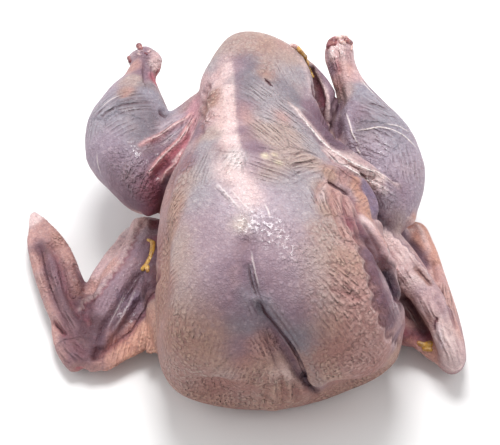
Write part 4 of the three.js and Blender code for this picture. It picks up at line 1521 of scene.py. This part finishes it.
FINE_LINES = (
    # the taut ridge to the right knee, and the strands that fan out from it: a painted highlight along the
    # ridge and painted shade below it
    Line(((286, 101), (300, 115), (313, 131), (326, 145), (343, 157), (362, 167), (380, 173), (402, 184))),
    Line(KNEE_STRAND),
    Line(((318, 143), (331, 155), (346, 165), (362, 175), (380, 187)), -1.0),
    Line(((330, 166), (346, 174), (358, 182)), -0.7),
    # veins on the right drumstick
    Line(((346, 112), (350, 125), (353, 135), (361, 147)), 0.8),
    Line(((352, 131), (368, 129), (380, 127), (396, 131), (410, 141), (419, 153)), 0.9),
    Line(((384, 124), (398, 126), (410, 133)), 0.6),
    Line(((361, 79), (368, 88), (376, 96)), 0.8),
    Line(((352, 155), (357, 149), (361, 146)), 0.9),
    Line(((366, 104), (377, 105), (388, 110)), -0.7),
    Line(((377, 112), (388, 116), (398, 118)), -0.6),
    # tendons of the left web
    Line(((193, 112), (186, 118), (172, 126), (157, 136), (140, 145)), 0.5),
    Line(((195, 118), (187, 129), (181, 138), (170, 149), (160, 159), (148, 174)), 0.6),
    Line(((181, 153), (175, 164), (165, 173), (161, 184)), 0.3),
    Line(((190, 119), (182, 128), (172, 138)), 0.2),
    Line(((179, 128), (170, 138), (160, 147)), 0.25),
    Line(((200, 118), (194, 131), (188, 144)), 0.3),
    # the breast: pale lines of painted sheen across its top and a painted highlight on the groove's lip, with
    # dark lines of painted shade in the groove
    Line(((216, 183), (224, 191), (233, 201), (241, 209)), 0.5),
    Line(((228, 186), (238, 198), (247, 207), (259, 213)), 0.4),
    Line(((214, 186), (222, 194), (230, 203)), -0.4),
    Line(((264, 203), (268, 210), (270, 218)), 0.7),
    Line(((264, 78), (268, 82), (273, 87)), -1.3, taper=0.1),
    Line(((251, 250), (253, 262), (256, 276), (260, 290)), 0.45),
    Line(((248, 262), (250, 275), (254, 289), (258, 299)), -0.8),
    Line(((253, 266), (255, 280), (258, 292), (263, 301)), -0.5),
    Line(((266, 301), (276, 315), (288, 331), (298, 347), (305, 362)), -0.5),
    Line(((274, 303), (283, 316), (294, 331), (303, 345)), -0.3),
    Line(((257, 297), (264, 311), (275, 325), (288, 342), (297, 357), (303, 371), (309, 383), (317, 394)),
         -1.0, taper=0.1),
    Line(((244, 300), (249, 309), (252, 318)), -0.4),
    Line(((250, 300), (254, 309), (259, 317)), -0.5),
    Line(((262, 330), (266, 341), (271, 352), (276, 366)), -0.7),
    Line(((259, 338), (262, 350), (267, 362)), -0.4),
    Line(((214, 150), (226, 152), (240, 152)), -0.4),
    # the cut under the roll, in painted shade
    Line(((326, 180), (334, 186), (342, 191), (351, 195)), -1.0),
    Line(((320, 190), (327, 183), (334, 184)), -0.5),
    # fine folds above the flank
    *(Line(line, -0.4) for line in FLANK_FOLDS),
    Line(((288, 186), (298, 182), (308, 176)), -0.3),
    Line(((266, 168), (276, 174), (288, 178)), -0.3),
    Line(((262, 184), (274, 184), (286, 183)), -0.25),
    # the left leg
    *(Line(line, ink) for line, ink in zip(DRUMSTICK_WRINKLES, (-0.35, -0.4, -0.35))),
    Line(((116, 96), (128, 92), (138, 93)), -0.5),
    Line(((100, 108), (110, 100), (122, 95)), 0.5),
    Line(((102, 175), (98, 165), (97, 152)), 0.5),
    Line(((144, 62), (143, 76), (146, 90)), -0.6),
    Line(((151, 60), (151, 72), (153, 84)), -0.6),
    # the wings
    Line(((35, 238), (42, 255), (47, 276), (54, 297), (66, 322)), -0.8),
    Line(((54, 322), (59, 329), (64, 336)), -1.0),
    Line(((126, 290), (118, 308), (108, 328)), 0.25),
    Line(((136, 288), (126, 310), (114, 330)), 0.25),
    Line(((141, 272), (132, 290), (122, 304)), -0.8),
    Line(((160, 276), (150, 297), (140, 317), (131, 331), (118, 341), (104, 353)), -0.8),
    Line(((386, 277), (392, 298), (398, 320)), 0.15),
    Line(((404, 302), (411, 315), (419, 329)), 0.25),
    Line(((416, 268), (424, 277), (432, 286)), -1.0),
    Line(FOREARM_CREASE, -0.7),
    Line(HAND_NICK, -0.7),
    Line(((376, 232), (388, 250), (402, 268)), 0.5),
)

# Folds, ridges and creases, by region; the dark tones laid in their sunk creases, cuts and gaps are painted
# shade, and some pale ones on crests are painted highlights

TRUNK_FOLDS = (
    # the keel, with its sharp right edge: its pale pink band on the left face is partly its pale skin and
    # partly a painted highlight, the near white below it is a painted highlight, and the grey on its right
    # face is partly painted shade
    Stroke(((231, 58), (235, 78), (235, 95), (236, 110), (238, 130), (240, 150), (243, 168)), 3.6, 0.4,
           Tone.KEEL_PINK, 0.35, edge=1, soft=1.6, taper=0.25),
    Stroke(((238, 130), (240, 150), (243, 172), (250, 196), (258, 212)), 4.0, 0.2, Tone.KEEL_WHITE, 0.4,
           edge=1, soft=2.5, taper=0.4),
    Stroke(((232, 60), (235, 78), (235, 95), (236, 110), (238, 130), (241, 150)), 3.6, -0.3, Tone.PURPLE_GREY,
           0.6, spread=0.9, edge=-1, taper=0.12),
    Stroke(((219, 66), (219, 90), (220, 110), (221, 130)), 2.2, -0.4, Tone.ROSE, 0.3),
    # the groove between the breast lobes, down to the edge of the neck skin: the dark tones sunk along it are
    # partly its darker skin and partly painted shade, and the dark violet line along the lip is a painted
    # shadow
    Stroke(((246, 236), (249, 252), (251, 275), (256, 297)), 3.4, -1.3, Tone.PURPLE_GREY, 0.4),
    Stroke(((249, 262), (252, 280), (257, 296)), 1.5, -1.1, Tone.BLUE_GREY, 0.7, step=-0.7),
    Stroke(((264, 318), (273, 333), (283, 348), (291, 361), (299, 376), (309, 390)), 2.0, -1.9,
           Tone.ARM_MAUVE, 0.85, spread=0.9, taper=0.3),
    Stroke(((262, 294), (272, 308), (286, 324), (299, 341), (308, 357), (315, 373), (324, 389)), 3.0, 1.2,
           Tone.BLUE_GREY, 0.45),
    Stroke(((258, 299), (264, 311), (275, 325), (288, 342), (297, 357), (303, 371), (309, 383), (318, 395)),
           1.3, -1.3, Tone.DEEP_VIOLET, 1.0, step=-1.3, taper=0.1),
    Stroke(((284, 337), (291, 347), (297, 358), (303, 372), (309, 383), (316, 393)), 1.0, -1.4,
           Tone.DEEP_VIOLET, 1.0, spread=1.2, taper=0.1),
    Stroke(((243, 322), (252, 332), (262, 345), (270, 362), (276, 382)), 2.6, 0.9),
    # the neck skin: the darker tones in its sunk creases are painted shade
    Stroke(((256, 326), (266, 338), (273, 352), (276, 368)), 1.5, -0.9, Tone.DUSKY, 0.4),
    Stroke(((262, 336), (262, 350), (266, 366)), 1.4, -0.7, Tone.NECK_BROWN, 0.4),
    Stroke(((266, 372), (267, 386), (266, 402)), 1.3, -1.0, Tone.NECK_BROWN, 0.5),
    Stroke(((274, 374), (275, 388), (274, 403)), 1.3, 0.8, Tone.WARM_TAN, 0.4),
    Stroke(((280, 372), (283, 386), (282, 404)), 1.3, -1.0, Tone.NECK_BROWN, 0.5),
    Stroke(((287, 378), (289, 390), (289, 403)), 1.3, 0.8, Tone.WARM_TAN, 0.4),
    Stroke(((293, 380), (296, 391), (297, 402)), 1.2, -1.1, Tone.CREASE_BROWN, 0.5),
    Stroke(((252, 378), (250, 390), (249, 402)), 1.3, -0.8, Tone.NECK_BROWN, 0.5),
    # the slit in the belly and its lips: the dark red inside is partly its flesh and partly painted shade
    Stroke(((309, 68), (314, 80), (318, 94), (323, 108), (331, 122)), 2.8, -2.0, Tone.DARK_RED, 1.0,
           spread=1.1, taper=0.08),
    Stroke(((312, 84), (315, 96), (321, 110), (329, 124)), 1.0, -1.0, Tone.DARK_RED, 1.0, taper=0.06),
    Stroke(((316, 82), (320, 94), (325, 106)), 1.4, 0.0, Tone.WINE, 0.7),
    Stroke(((297, 56), (304, 66), (308, 80), (311, 94)), 1.2, 0.7, Tone.KEEL_PINK, 0.35),
    Stroke(((324, 108), (329, 118), (334, 128)), 1.4, -1.4, Tone.DARK_RED, 0.9),
    Stroke(((313, 68), (320, 80), (326, 93), (329, 108), (332, 122)), 0.9, 0.8, Tone.KEEL_PINK, 0.9),
    Stroke(((321, 74), (328, 84), (333, 96)), 1.4, 0.3, Tone.PURPLE_GREY, 0.8),
    # the wall beside the slit
    Stroke(((301, 110), (313, 126), (325, 140), (338, 152)), 3.2, -1.2, Tone.PLUM, 0.8, edge=-1),
    # fine folds above the flank
    *(Stroke(line, 1.2, height) for line, height in zip(FLANK_FOLDS, (-0.6, -0.7, -0.7))),
    Stroke(((292, 164), (302, 158), (314, 158), (325, 163)), 1.3, 0.6),
    # a painted sheen across the top of the breast
    Stroke(((216, 184), (224, 192), (233, 202), (242, 209), (256, 214)), 1.2, 0.4, Tone.KEEL_WHITE, 0.3),
    Stroke(((222, 193), (232, 205), (242, 214)), 1.6, -0.4),
    # a short crease in the belly, darkened with painted shade
    Stroke(((265, 79), (272, 86)), 1.0, -0.6, Tone.CREASE_BROWN, 0.7),
    # the pimpled hollow of the left flank: the darker tones in the hollow and its pits are painted shade
    Stroke(((208, 84), (205, 96), (204, 108), (203, 122)), 2.2, -0.8, Tone.NECK_BROWN, 0.5),
    Stroke(((212, 92), (209, 106), (207, 120)), 1.6, 0.6, Tone.KEEL_PINK, 0.3),
    Stroke(((206, 84), (210, 88), (208, 92)), 0.9, -0.9, Tone.CREASE_BROWN, 0.55),
    Stroke(((202, 91), (206, 94), (204, 99)), 0.9, -0.9, Tone.CREASE_BROWN, 0.6),
    Stroke(((207, 96), (211, 100), (208, 105)), 0.9, -0.9, Tone.CREASE_BROWN, 0.5),
    Stroke(((201, 102), (205, 106), (201, 110)), 0.9, -0.9, Tone.CREASE_BROWN, 0.6),
    Stroke(((206, 109), (209, 114), (205, 118)), 0.9, -0.8, Tone.CREASE_BROWN, 0.5),
    Stroke(((199, 114), (203, 118), (200, 123)), 0.9, -0.9, Tone.CREASE_BROWN, 0.6),
    Stroke(((205, 122), (202, 128), (204, 134)), 0.9, -0.8, Tone.CREASE_BROWN, 0.45),
    # the roll of slack skin on the right flank: the dark tones in the cut under it and in its sunk creases are
    # painted shade
    Stroke(((318, 173), (332, 171), (345, 176), (357, 186), (364, 199), (367, 213)), 2.6, 1.5),
    Stroke(((328, 180), (335, 185), (342, 190), (350, 193)), 1.4, -2.6, Tone.DARK_RED, 0.95),
    Stroke(((350, 195), (357, 205), (360, 215)), 1.3, -1.4, Tone.WINE, 0.6),
    Stroke(((322, 181), (317, 193), (318, 205)), 1.3, -0.9, Tone.NECK_BROWN, 0.5),
    Stroke(((326, 183), (322, 192), (322, 203)), 1.3, 0.8, Tone.KEEL_PINK, 0.3),
    Stroke(((334, 190), (332, 205), (338, 222), (346, 240)), 1.3, -1.0, Tone.NECK_BROWN, 0.5),
    Stroke(((345, 196), (345, 212), (352, 230), (359, 246)), 1.3, -1.2, Tone.WINE, 0.5),
    Stroke(((339, 190), (339, 205), (346, 224)), 1.3, 0.9),
    Stroke(((355, 212), (358, 224), (364, 238)), 1.5, -1.6, Tone.DUSKY, 0.7),
    Stroke(((351, 205), (353, 218), (359, 234)), 1.3, 0.9, Tone.ROSE, 0.4),
    Stroke(((323, 212), (334, 230), (345, 250), (356, 268)), 1.3, -0.6),
    # the zigzag edge of the breast skin beside the folded wing, with painted shadow in dark red below its
    # raised edge
    Stroke(BREAST_EDGE, 2.2, 0.5, Tone.KEEL_PINK, 0.5, step=1.4, spread=0.6, edge=1, scallop=2.6, bow=7.5,
           taper=0.05),
    Stroke(BREAST_EDGE, 1.6, -0.8, Tone.DARK_RED, 0.95, spread=1.1, edge=-1, scallop=2.6, bow=7.5,
           taper=0.05),
    Stroke(((330, 288), (345, 293), (362, 300)), 1.3, -0.9, Tone.WINE, 0.4),
    # the fold where the left flank meets the leg, darkened with painted shade
    Stroke(((201, 130), (192, 150), (180, 166), (171, 187), (166, 206)), 2.6, -0.8, Tone.NECK_BROWN, 0.35),
)

LEG_FOLDS = (
    # the taut skin between the left flank and leg: the wine and red sunk beside and between the tendons are
    # partly their red flesh and partly painted shade
    Stroke(((194, 112), (186, 119), (172, 127), (157, 137), (138, 147)), 1.3, 1.0, Tone.TENDON_PINK, 0.9,
           spread=0.8),
    Stroke(((188, 121), (176, 128), (164, 136), (150, 144)), 1.2, -0.7, Tone.WINE, 0.5),
    Stroke(((196, 118), (187, 130), (181, 139), (170, 150), (160, 160), (148, 175)), 1.5, 1.6,
           Tone.TENDON_PINK, 0.95, spread=0.9),
    Stroke(((190, 133), (184, 143), (174, 152), (164, 161), (153, 174)), 1.2, -0.9, Tone.RED, 0.8),
    Stroke(((176, 156), (166, 165), (158, 176)), 1.6, -0.7, Tone.WINE, 0.7),
    Stroke(((182, 152), (175, 164), (165, 173), (161, 184)), 1.1, 1.2, Tone.TENDON_PINK, 0.8),
    Stroke(((184, 148), (179, 156), (172, 163)), 1.0, 0.4, Tone.KEEL_PINK, 0.7),
    Stroke(((181, 161), (175, 167), (170, 173)), 2.2, -0.4, Tone.WINE, 0.4, soft=1.8, taper=0.4),
    Stroke(((168, 160), (160, 170), (154, 184)), 2.0, -1.4, Tone.WINE, 0.7),
    # painted shade under the drumstick and in the gap beside the thigh
    Stroke(((122, 196), (134, 202), (148, 205)), 2.6, 0.0, Tone.PLUM, 0.5),
    Stroke(((158, 186), (156, 198), (156, 210)), 3.0, 0.0, Tone.WINE, 0.5, taper=0.4),
    Stroke(((146, 160), (138, 168), (130, 178)), 1.2, -0.8, Tone.PLUM, 0.5),
    Stroke(((150, 166), (141, 175), (134, 186)), 1.2, -0.8, Tone.PLUM, 0.5),
    Stroke(((160, 148), (150, 160), (141, 168)), 1.2, 0.6),
    # wrinkles round the left drumstick
    *(Stroke(line, 1.2, -0.6) for line in DRUMSTICK_WRINKLES),
    Stroke(((93, 126), (102, 113), (114, 104), (130, 99), (148, 100)), 1.2, 0.5),
    Stroke(((159, 111), (163, 114), (168, 116)), 1.4, -1.7, Tone.DARK_RED, 0.9),
    Stroke(((160, 106), (166, 111), (171, 117)), 1.6, 0.7, Tone.LEG_GREY, 0.5),
    # the left hock, with painted shade in the groove beside its condyle
    Stroke(((147, 55), (146, 68), (146, 84)), 1.5, -1.6, Tone.PURPLE_GREY, 0.6),
    Stroke(((153, 56), (158, 64), (156, 73)), 2.6, 1.3),
    Stroke(((132, 86), (128, 92), (120, 97)), 1.3, -0.7, Tone.ROSE, 0.6),
    # the taut ridge to the right knee: its pale pink is partly a painted highlight, and the wine and grey sunk
    # below it are painted shade
    Stroke(((287, 102), (300, 116), (313, 131), (326, 146), (343, 158), (362, 168), (380, 174)), 1.7, 1.5,
           Tone.KEEL_PINK, 0.8, step=0.5, spread=0.8),
    Stroke(KNEE_STRAND, 1.5, 1.2, Tone.KEEL_PINK, 0.7),
    Stroke(((319, 147), (331, 158), (345, 169), (356, 174), (372, 179), (384, 187)), 1.1, -1.4, Tone.WINE,
           0.4),
    Stroke(((322, 163), (335, 171), (348, 175), (358, 183), (366, 196)), 1.2, -0.7, Tone.WINE, 0.25),
    Stroke(((368, 168), (382, 173), (396, 181)), 1.1, -0.6, Tone.PURPLE_GREY, 0.4),
    Stroke(((372, 180), (382, 190), (390, 204)), 3.0, 1.2),
    Stroke(((370, 172), (386, 178), (402, 188)), 1.2, 0.7, Tone.KEEL_PINK, 0.5),
    Stroke(((364, 183), (369, 196), (372, 210)), 2.0, -0.8, Tone.THIGH_VIOLET, 0.5),
    Stroke(((374, 188), (380, 202), (384, 218)), 3.6, 1.6, Tone.THIGH_VIOLET, 0.25),
    # lines on the right drumstick, with painted shade in the sunk ones
    Stroke(((331, 60), (336, 76), (341, 92), (344, 108)), 1.6, -0.7, Tone.WINE, 0.25),
    Stroke(((343, 62), (346, 80), (348, 100)), 1.5, 0.8, Tone.HOCK_PINK, 0.5),
    # a painted highlight on the top of the right hock
    Stroke(((332, 46), (332, 58)), 1.2, 0.8, Tone.KEEL_WHITE, 0.5),
    Stroke(((337, 48), (337, 62), (340, 74)), 1.2, -0.9, Tone.RED, 0.4),
    Stroke(((348, 46), (349, 58), (353, 68)), 1.2, -0.7, Tone.WINE, 0.3),
    Stroke(((327, 50), (328, 62), (332, 74)), 1.3, -0.8, Tone.PURPLE_GREY, 0.7),
    Stroke(((347, 110), (351, 128), (360, 145)), 1.1, 0.7),
    Stroke(((353, 130), (375, 128), (394, 132), (409, 141), (418, 152)), 1.1, 0.6),
    Stroke(((355, 96), (366, 103), (378, 106), (390, 111)), 1.3, -0.8, Tone.BLUE_GREY, 0.5),
    Stroke(((334, 88), (333, 106), (333, 124), (335, 142)), 1.3, -1.2, Tone.DARK_RED, 0.6),
    Stroke(((345, 116), (348, 132), (353, 148)), 1.6, 0.9, Tone.LEG_LILAC, 0.5),
)

LEFT_WING_FOLDS = (
    # the hand: pink bands along both edges, a groove beside each, and the muscle between; the dark tones in
    # the grooves and the split are painted shade
    Stroke(((29, 234), (34, 255), (41, 278), (51, 302), (62, 322)), 2.6, 0.9, Tone.WING_PINK, 0.3),
    Stroke(((35, 236), (41, 255), (47, 276), (53, 297), (63, 318), (76, 338)), 1.6, -1.9, Tone.WING_MAUVE,
           0.8),
    Stroke(((48, 252), (55, 270), (59, 290), (68, 312), (80, 332)), 2.0, 1.1, Tone.WING_LILAC, 0.25),
    Stroke(((47, 240), (57, 257), (63, 278), (71, 300), (82, 320)), 1.5, -1.8, Tone.WINE, 0.5),
    Stroke(((48, 228), (60, 243), (69, 260), (72, 278), (79, 296)), 2.6, 1.0, Tone.WING_ORANGE, 0.3),
    Stroke(((40, 217), (50, 227), (59, 239), (67, 249), (72, 262), (71, 272), (78, 283), (82, 291)), 1.3, 1.1,
           ripple=True, bow=2.6, taper=0.05),
    Stroke(((52, 321), (58, 328), (64, 336)), 1.2, -2.2, Tone.WINE, 0.9),
    Stroke(((78, 367), (81, 371)), 1.6, -1.0, Tone.RED, 0.7),
    Stroke(((64, 330), (74, 344), (86, 356)), 1.5, -0.9, Tone.WINE, 0.3),
    # the feather band along the forearm, with its scalloped edge and painted shadow in wine on the muscle's
    # side of it
    Stroke(((137, 220), (124, 238), (110, 259), (96, 282)), 4.2, 0.9, Tone.HOCK_PINK, 0.7, taper=0.05),
    Stroke(BAND_EDGE, 1.4, -0.6, Tone.WINE, 0.8, step=1.5, edge=-1, scallop=1.5, bow=4.4, taper=0.04),
    Stroke(BAND_EDGE, 1.1, 0.3, Tone.KEEL_PINK, 0.7, edge=1, scallop=1.5, bow=4.4, taper=0.04),
    Stroke(((84, 312), (87, 319), (90, 326)), 1.2, -1.2, Tone.WINE, 0.6),
    # the muscles of the forearm: the dark lines between them and the pocket at their foot are painted shade,
    # and the faint pale lilac along the second is a painted sheen
    Stroke(((147, 228), (138, 248), (124, 272), (109, 297)), 3.4, 0.9),
    Stroke(((156, 243), (145, 264), (131, 286), (118, 306), (105, 323), (97, 345)), 1.6, -2.4, Tone.DUSKY,
           0.85, spread=0.9),
    Stroke(((150, 262), (138, 283), (125, 307), (113, 328)), 1.6, 0.8, Tone.PALE_LILAC, 0.15),
    Stroke(((143, 275), (133, 292), (122, 311), (110, 332)), 1.2, -1.4, Tone.DUSKY, 0.7),
    Stroke(((157, 268), (147, 288), (135, 308), (122, 328), (108, 345)), 1.4, -1.4, Tone.DUSKY, 0.6),
    Stroke(((161, 274), (151, 296), (141, 316), (131, 331), (119, 341), (105, 353), (98, 362)), 1.6, -1.5,
           Tone.WINE, 0.7),
    Stroke(((100, 345), (96, 354), (95, 362)), 2.2, -2.4, Tone.DARK_RED, 0.95),
    Stroke(((149, 219), (154, 221), (159, 223)), 2.2, -1.0, Tone.WINE, 0.8),
    # painted shadow on the trunk's edge and in the gap between the wing and the trunk
    Stroke(((163, 238), (161, 250), (160, 264), (159, 280)), 6.0, 0.0, Tone.WINE, 0.5, edge=1, soft=2.6,
           taper=0.4),
    Stroke(((157, 252), (156, 262), (155, 276), (155, 288)), 2.4, -1.0, Tone.DARK_RED, 0.75),
    Stroke(((160, 296), (158, 315), (158, 335)), 1.8, -0.4, Tone.NECK_BROWN, 0.5),
    # the front edge of the wing's skin, in a lighter peach that is painted light on skin that faces down
    Stroke(((102, 370), (114, 365), (126, 357), (140, 353), (154, 356)), 1.4, 0.9, Tone.WING_PEACH, 0.5),
)

RIGHT_WING_FOLDS = (
    # the hand of the folded wing: the plum beyond its raised outer edge and the dark tones in its creases and
    # nick are painted shade
    Stroke(((371, 226), (384, 243), (397, 261), (411, 281), (424, 303)), 3.0, 0.9),
    Stroke(((369, 230), (380, 249), (392, 269), (404, 290), (416, 311), (428, 333)), 1.6, 0.9, Tone.ROSE,
           0.4),
    Stroke(HAND_EDGE, 1.5, 0.0, Tone.PLUM, 0.9, step=1.5, spread=1.4, edge=-1, scallop=1.0, bow=4.5,
           taper=0.04),
    Stroke(HAND_EDGE, 1.0, 0.5, Tone.KEEL_PINK, 0.6, edge=1, scallop=1.0, bow=4.5, taper=0.04),
    Stroke(((414, 266), (423, 276), (432, 286)), 1.3, -2.0, Tone.NECK_BROWN, 0.9),
    Stroke(((420, 266), (428, 275), (434, 283)), 1.0, 0.7, Tone.KEEL_PINK, 0.5),
    Stroke(HAND_NICK, 0.9, -1.2, Tone.WINE, 0.9),
    Stroke(((436, 322), (440, 335), (443, 350)), 1.5, 0.9, Tone.PALE_LILAC, 0.5),
    Stroke(((424, 300), (432, 312), (440, 306)), 1.5, 0.6),
    Stroke(FOREARM_CREASE, 1.4, -1.2, Tone.WING_MAUVE, 0.6),
    Stroke(((434, 292), (444, 314), (451, 338)), 1.4, -0.9, Tone.WING_MAUVE, 0.5),
    # the forearm behind it, with painted shade in its creases
    Stroke(((403, 232), (412, 244), (421, 257), (429, 270)), 1.9, -1.4, Tone.PLUM, 0.7),
    Stroke(((409, 216), (419, 226), (427, 238), (433, 250), (437, 264)), 3.0, 1.1, Tone.WING_ORANGE, 0.9,
           taper=0.06),
    Stroke(((406, 217), (415, 228), (424, 241), (430, 253)), 1.3, 0.4, Tone.KEEL_PINK, 0.7),
    Stroke(((434, 262), (436, 272), (437, 281)), 1.2, -1.4, Tone.NECK_BROWN, 0.8),
    # the armpit: the dark red and dark violet laid in it are painted shade
    Stroke(((365, 222), (372, 236), (379, 248), (388, 263), (398, 278), (410, 298)), 4.4, 1.2, Tone.HOCK_PINK,
           0.85, edge=-1, soft=0.9),
    Stroke(((364, 221), (371, 235), (378, 248), (387, 263), (397, 278), (409, 298), (421, 317), (430, 333)),
           1.8, -0.4, Tone.DARK_RED, 1.0, step=-1.8, spread=1.8, edge=1, taper=0.04),
    Stroke(((366, 238), (373, 251), (382, 266), (391, 281), (400, 296), (410, 314)), 2.4, -2.0, Tone.DARK_RED,
           1.0, taper=0.1),
    Stroke(((365, 221), (372, 235), (379, 247), (388, 262), (398, 277), (410, 297), (422, 316)), 1.0, 0.3,
           Tone.ROSE, 0.5, edge=-1, taper=0.05),
    Stroke(((366, 246), (374, 268), (381, 292), (389, 316)), 2.0, 1.0, Tone.ARM_MAUVE, 0.3),
    Stroke(((391, 286), (395, 299), (400, 314)), 5.0, 0.0, Tone.DARK_RED, 0.9, edge=-1),
    Stroke(((385, 272), (389, 288), (394, 304), (399, 320)), 1.0, 0.6, Tone.PURPLE_GREY, 0.55),
    Stroke(((402, 322), (412, 333), (422, 342)), 2.0, 0.6, Tone.WINE, 0.5),
    Stroke(((381, 262), (387, 274), (391, 288), (397, 302)), 2.4, -2.2, Tone.DARK_RED, 0.95),
    Stroke(((387, 268), (392, 280), (397, 291), (402, 302)), 2.2, -2.4, Tone.DEEP_VIOLET, 1.0, taper=0.15),
    Stroke(((404, 339), (413, 343), (421, 350)), 1.3, 0.7, Tone.WING_ORANGE, 0.5),
    Stroke(((366, 236), (372, 247), (377, 258), (383, 269), (389, 282), (395, 294), (401, 305)), 2.0, 0.0,
           Tone.DARK_RED, 0.95, taper=0.1),
    Stroke(((389, 270), (394, 281), (399, 292), (405, 303)), 1.6, 0.0, Tone.DEEP_VIOLET, 0.95, taper=0.15),
    Stroke(((367, 223), (375, 236), (382, 249), (390, 262)), 3.2, 0.0, Tone.HOCK_PINK, 0.85, edge=-1),
)


def main() -> None:
    """Builds the bird and its studio."""
    logging.basicConfig(level=logging.INFO, format="%(name)s: %(message)s")
    view = PhotoView()
    view.add_camera()
    skin = Carcass(view).build()
    for trimming in TRIMMINGS:
        trimming.build(skin)
    Studio().build()


if __name__ == "__main__":
    main()
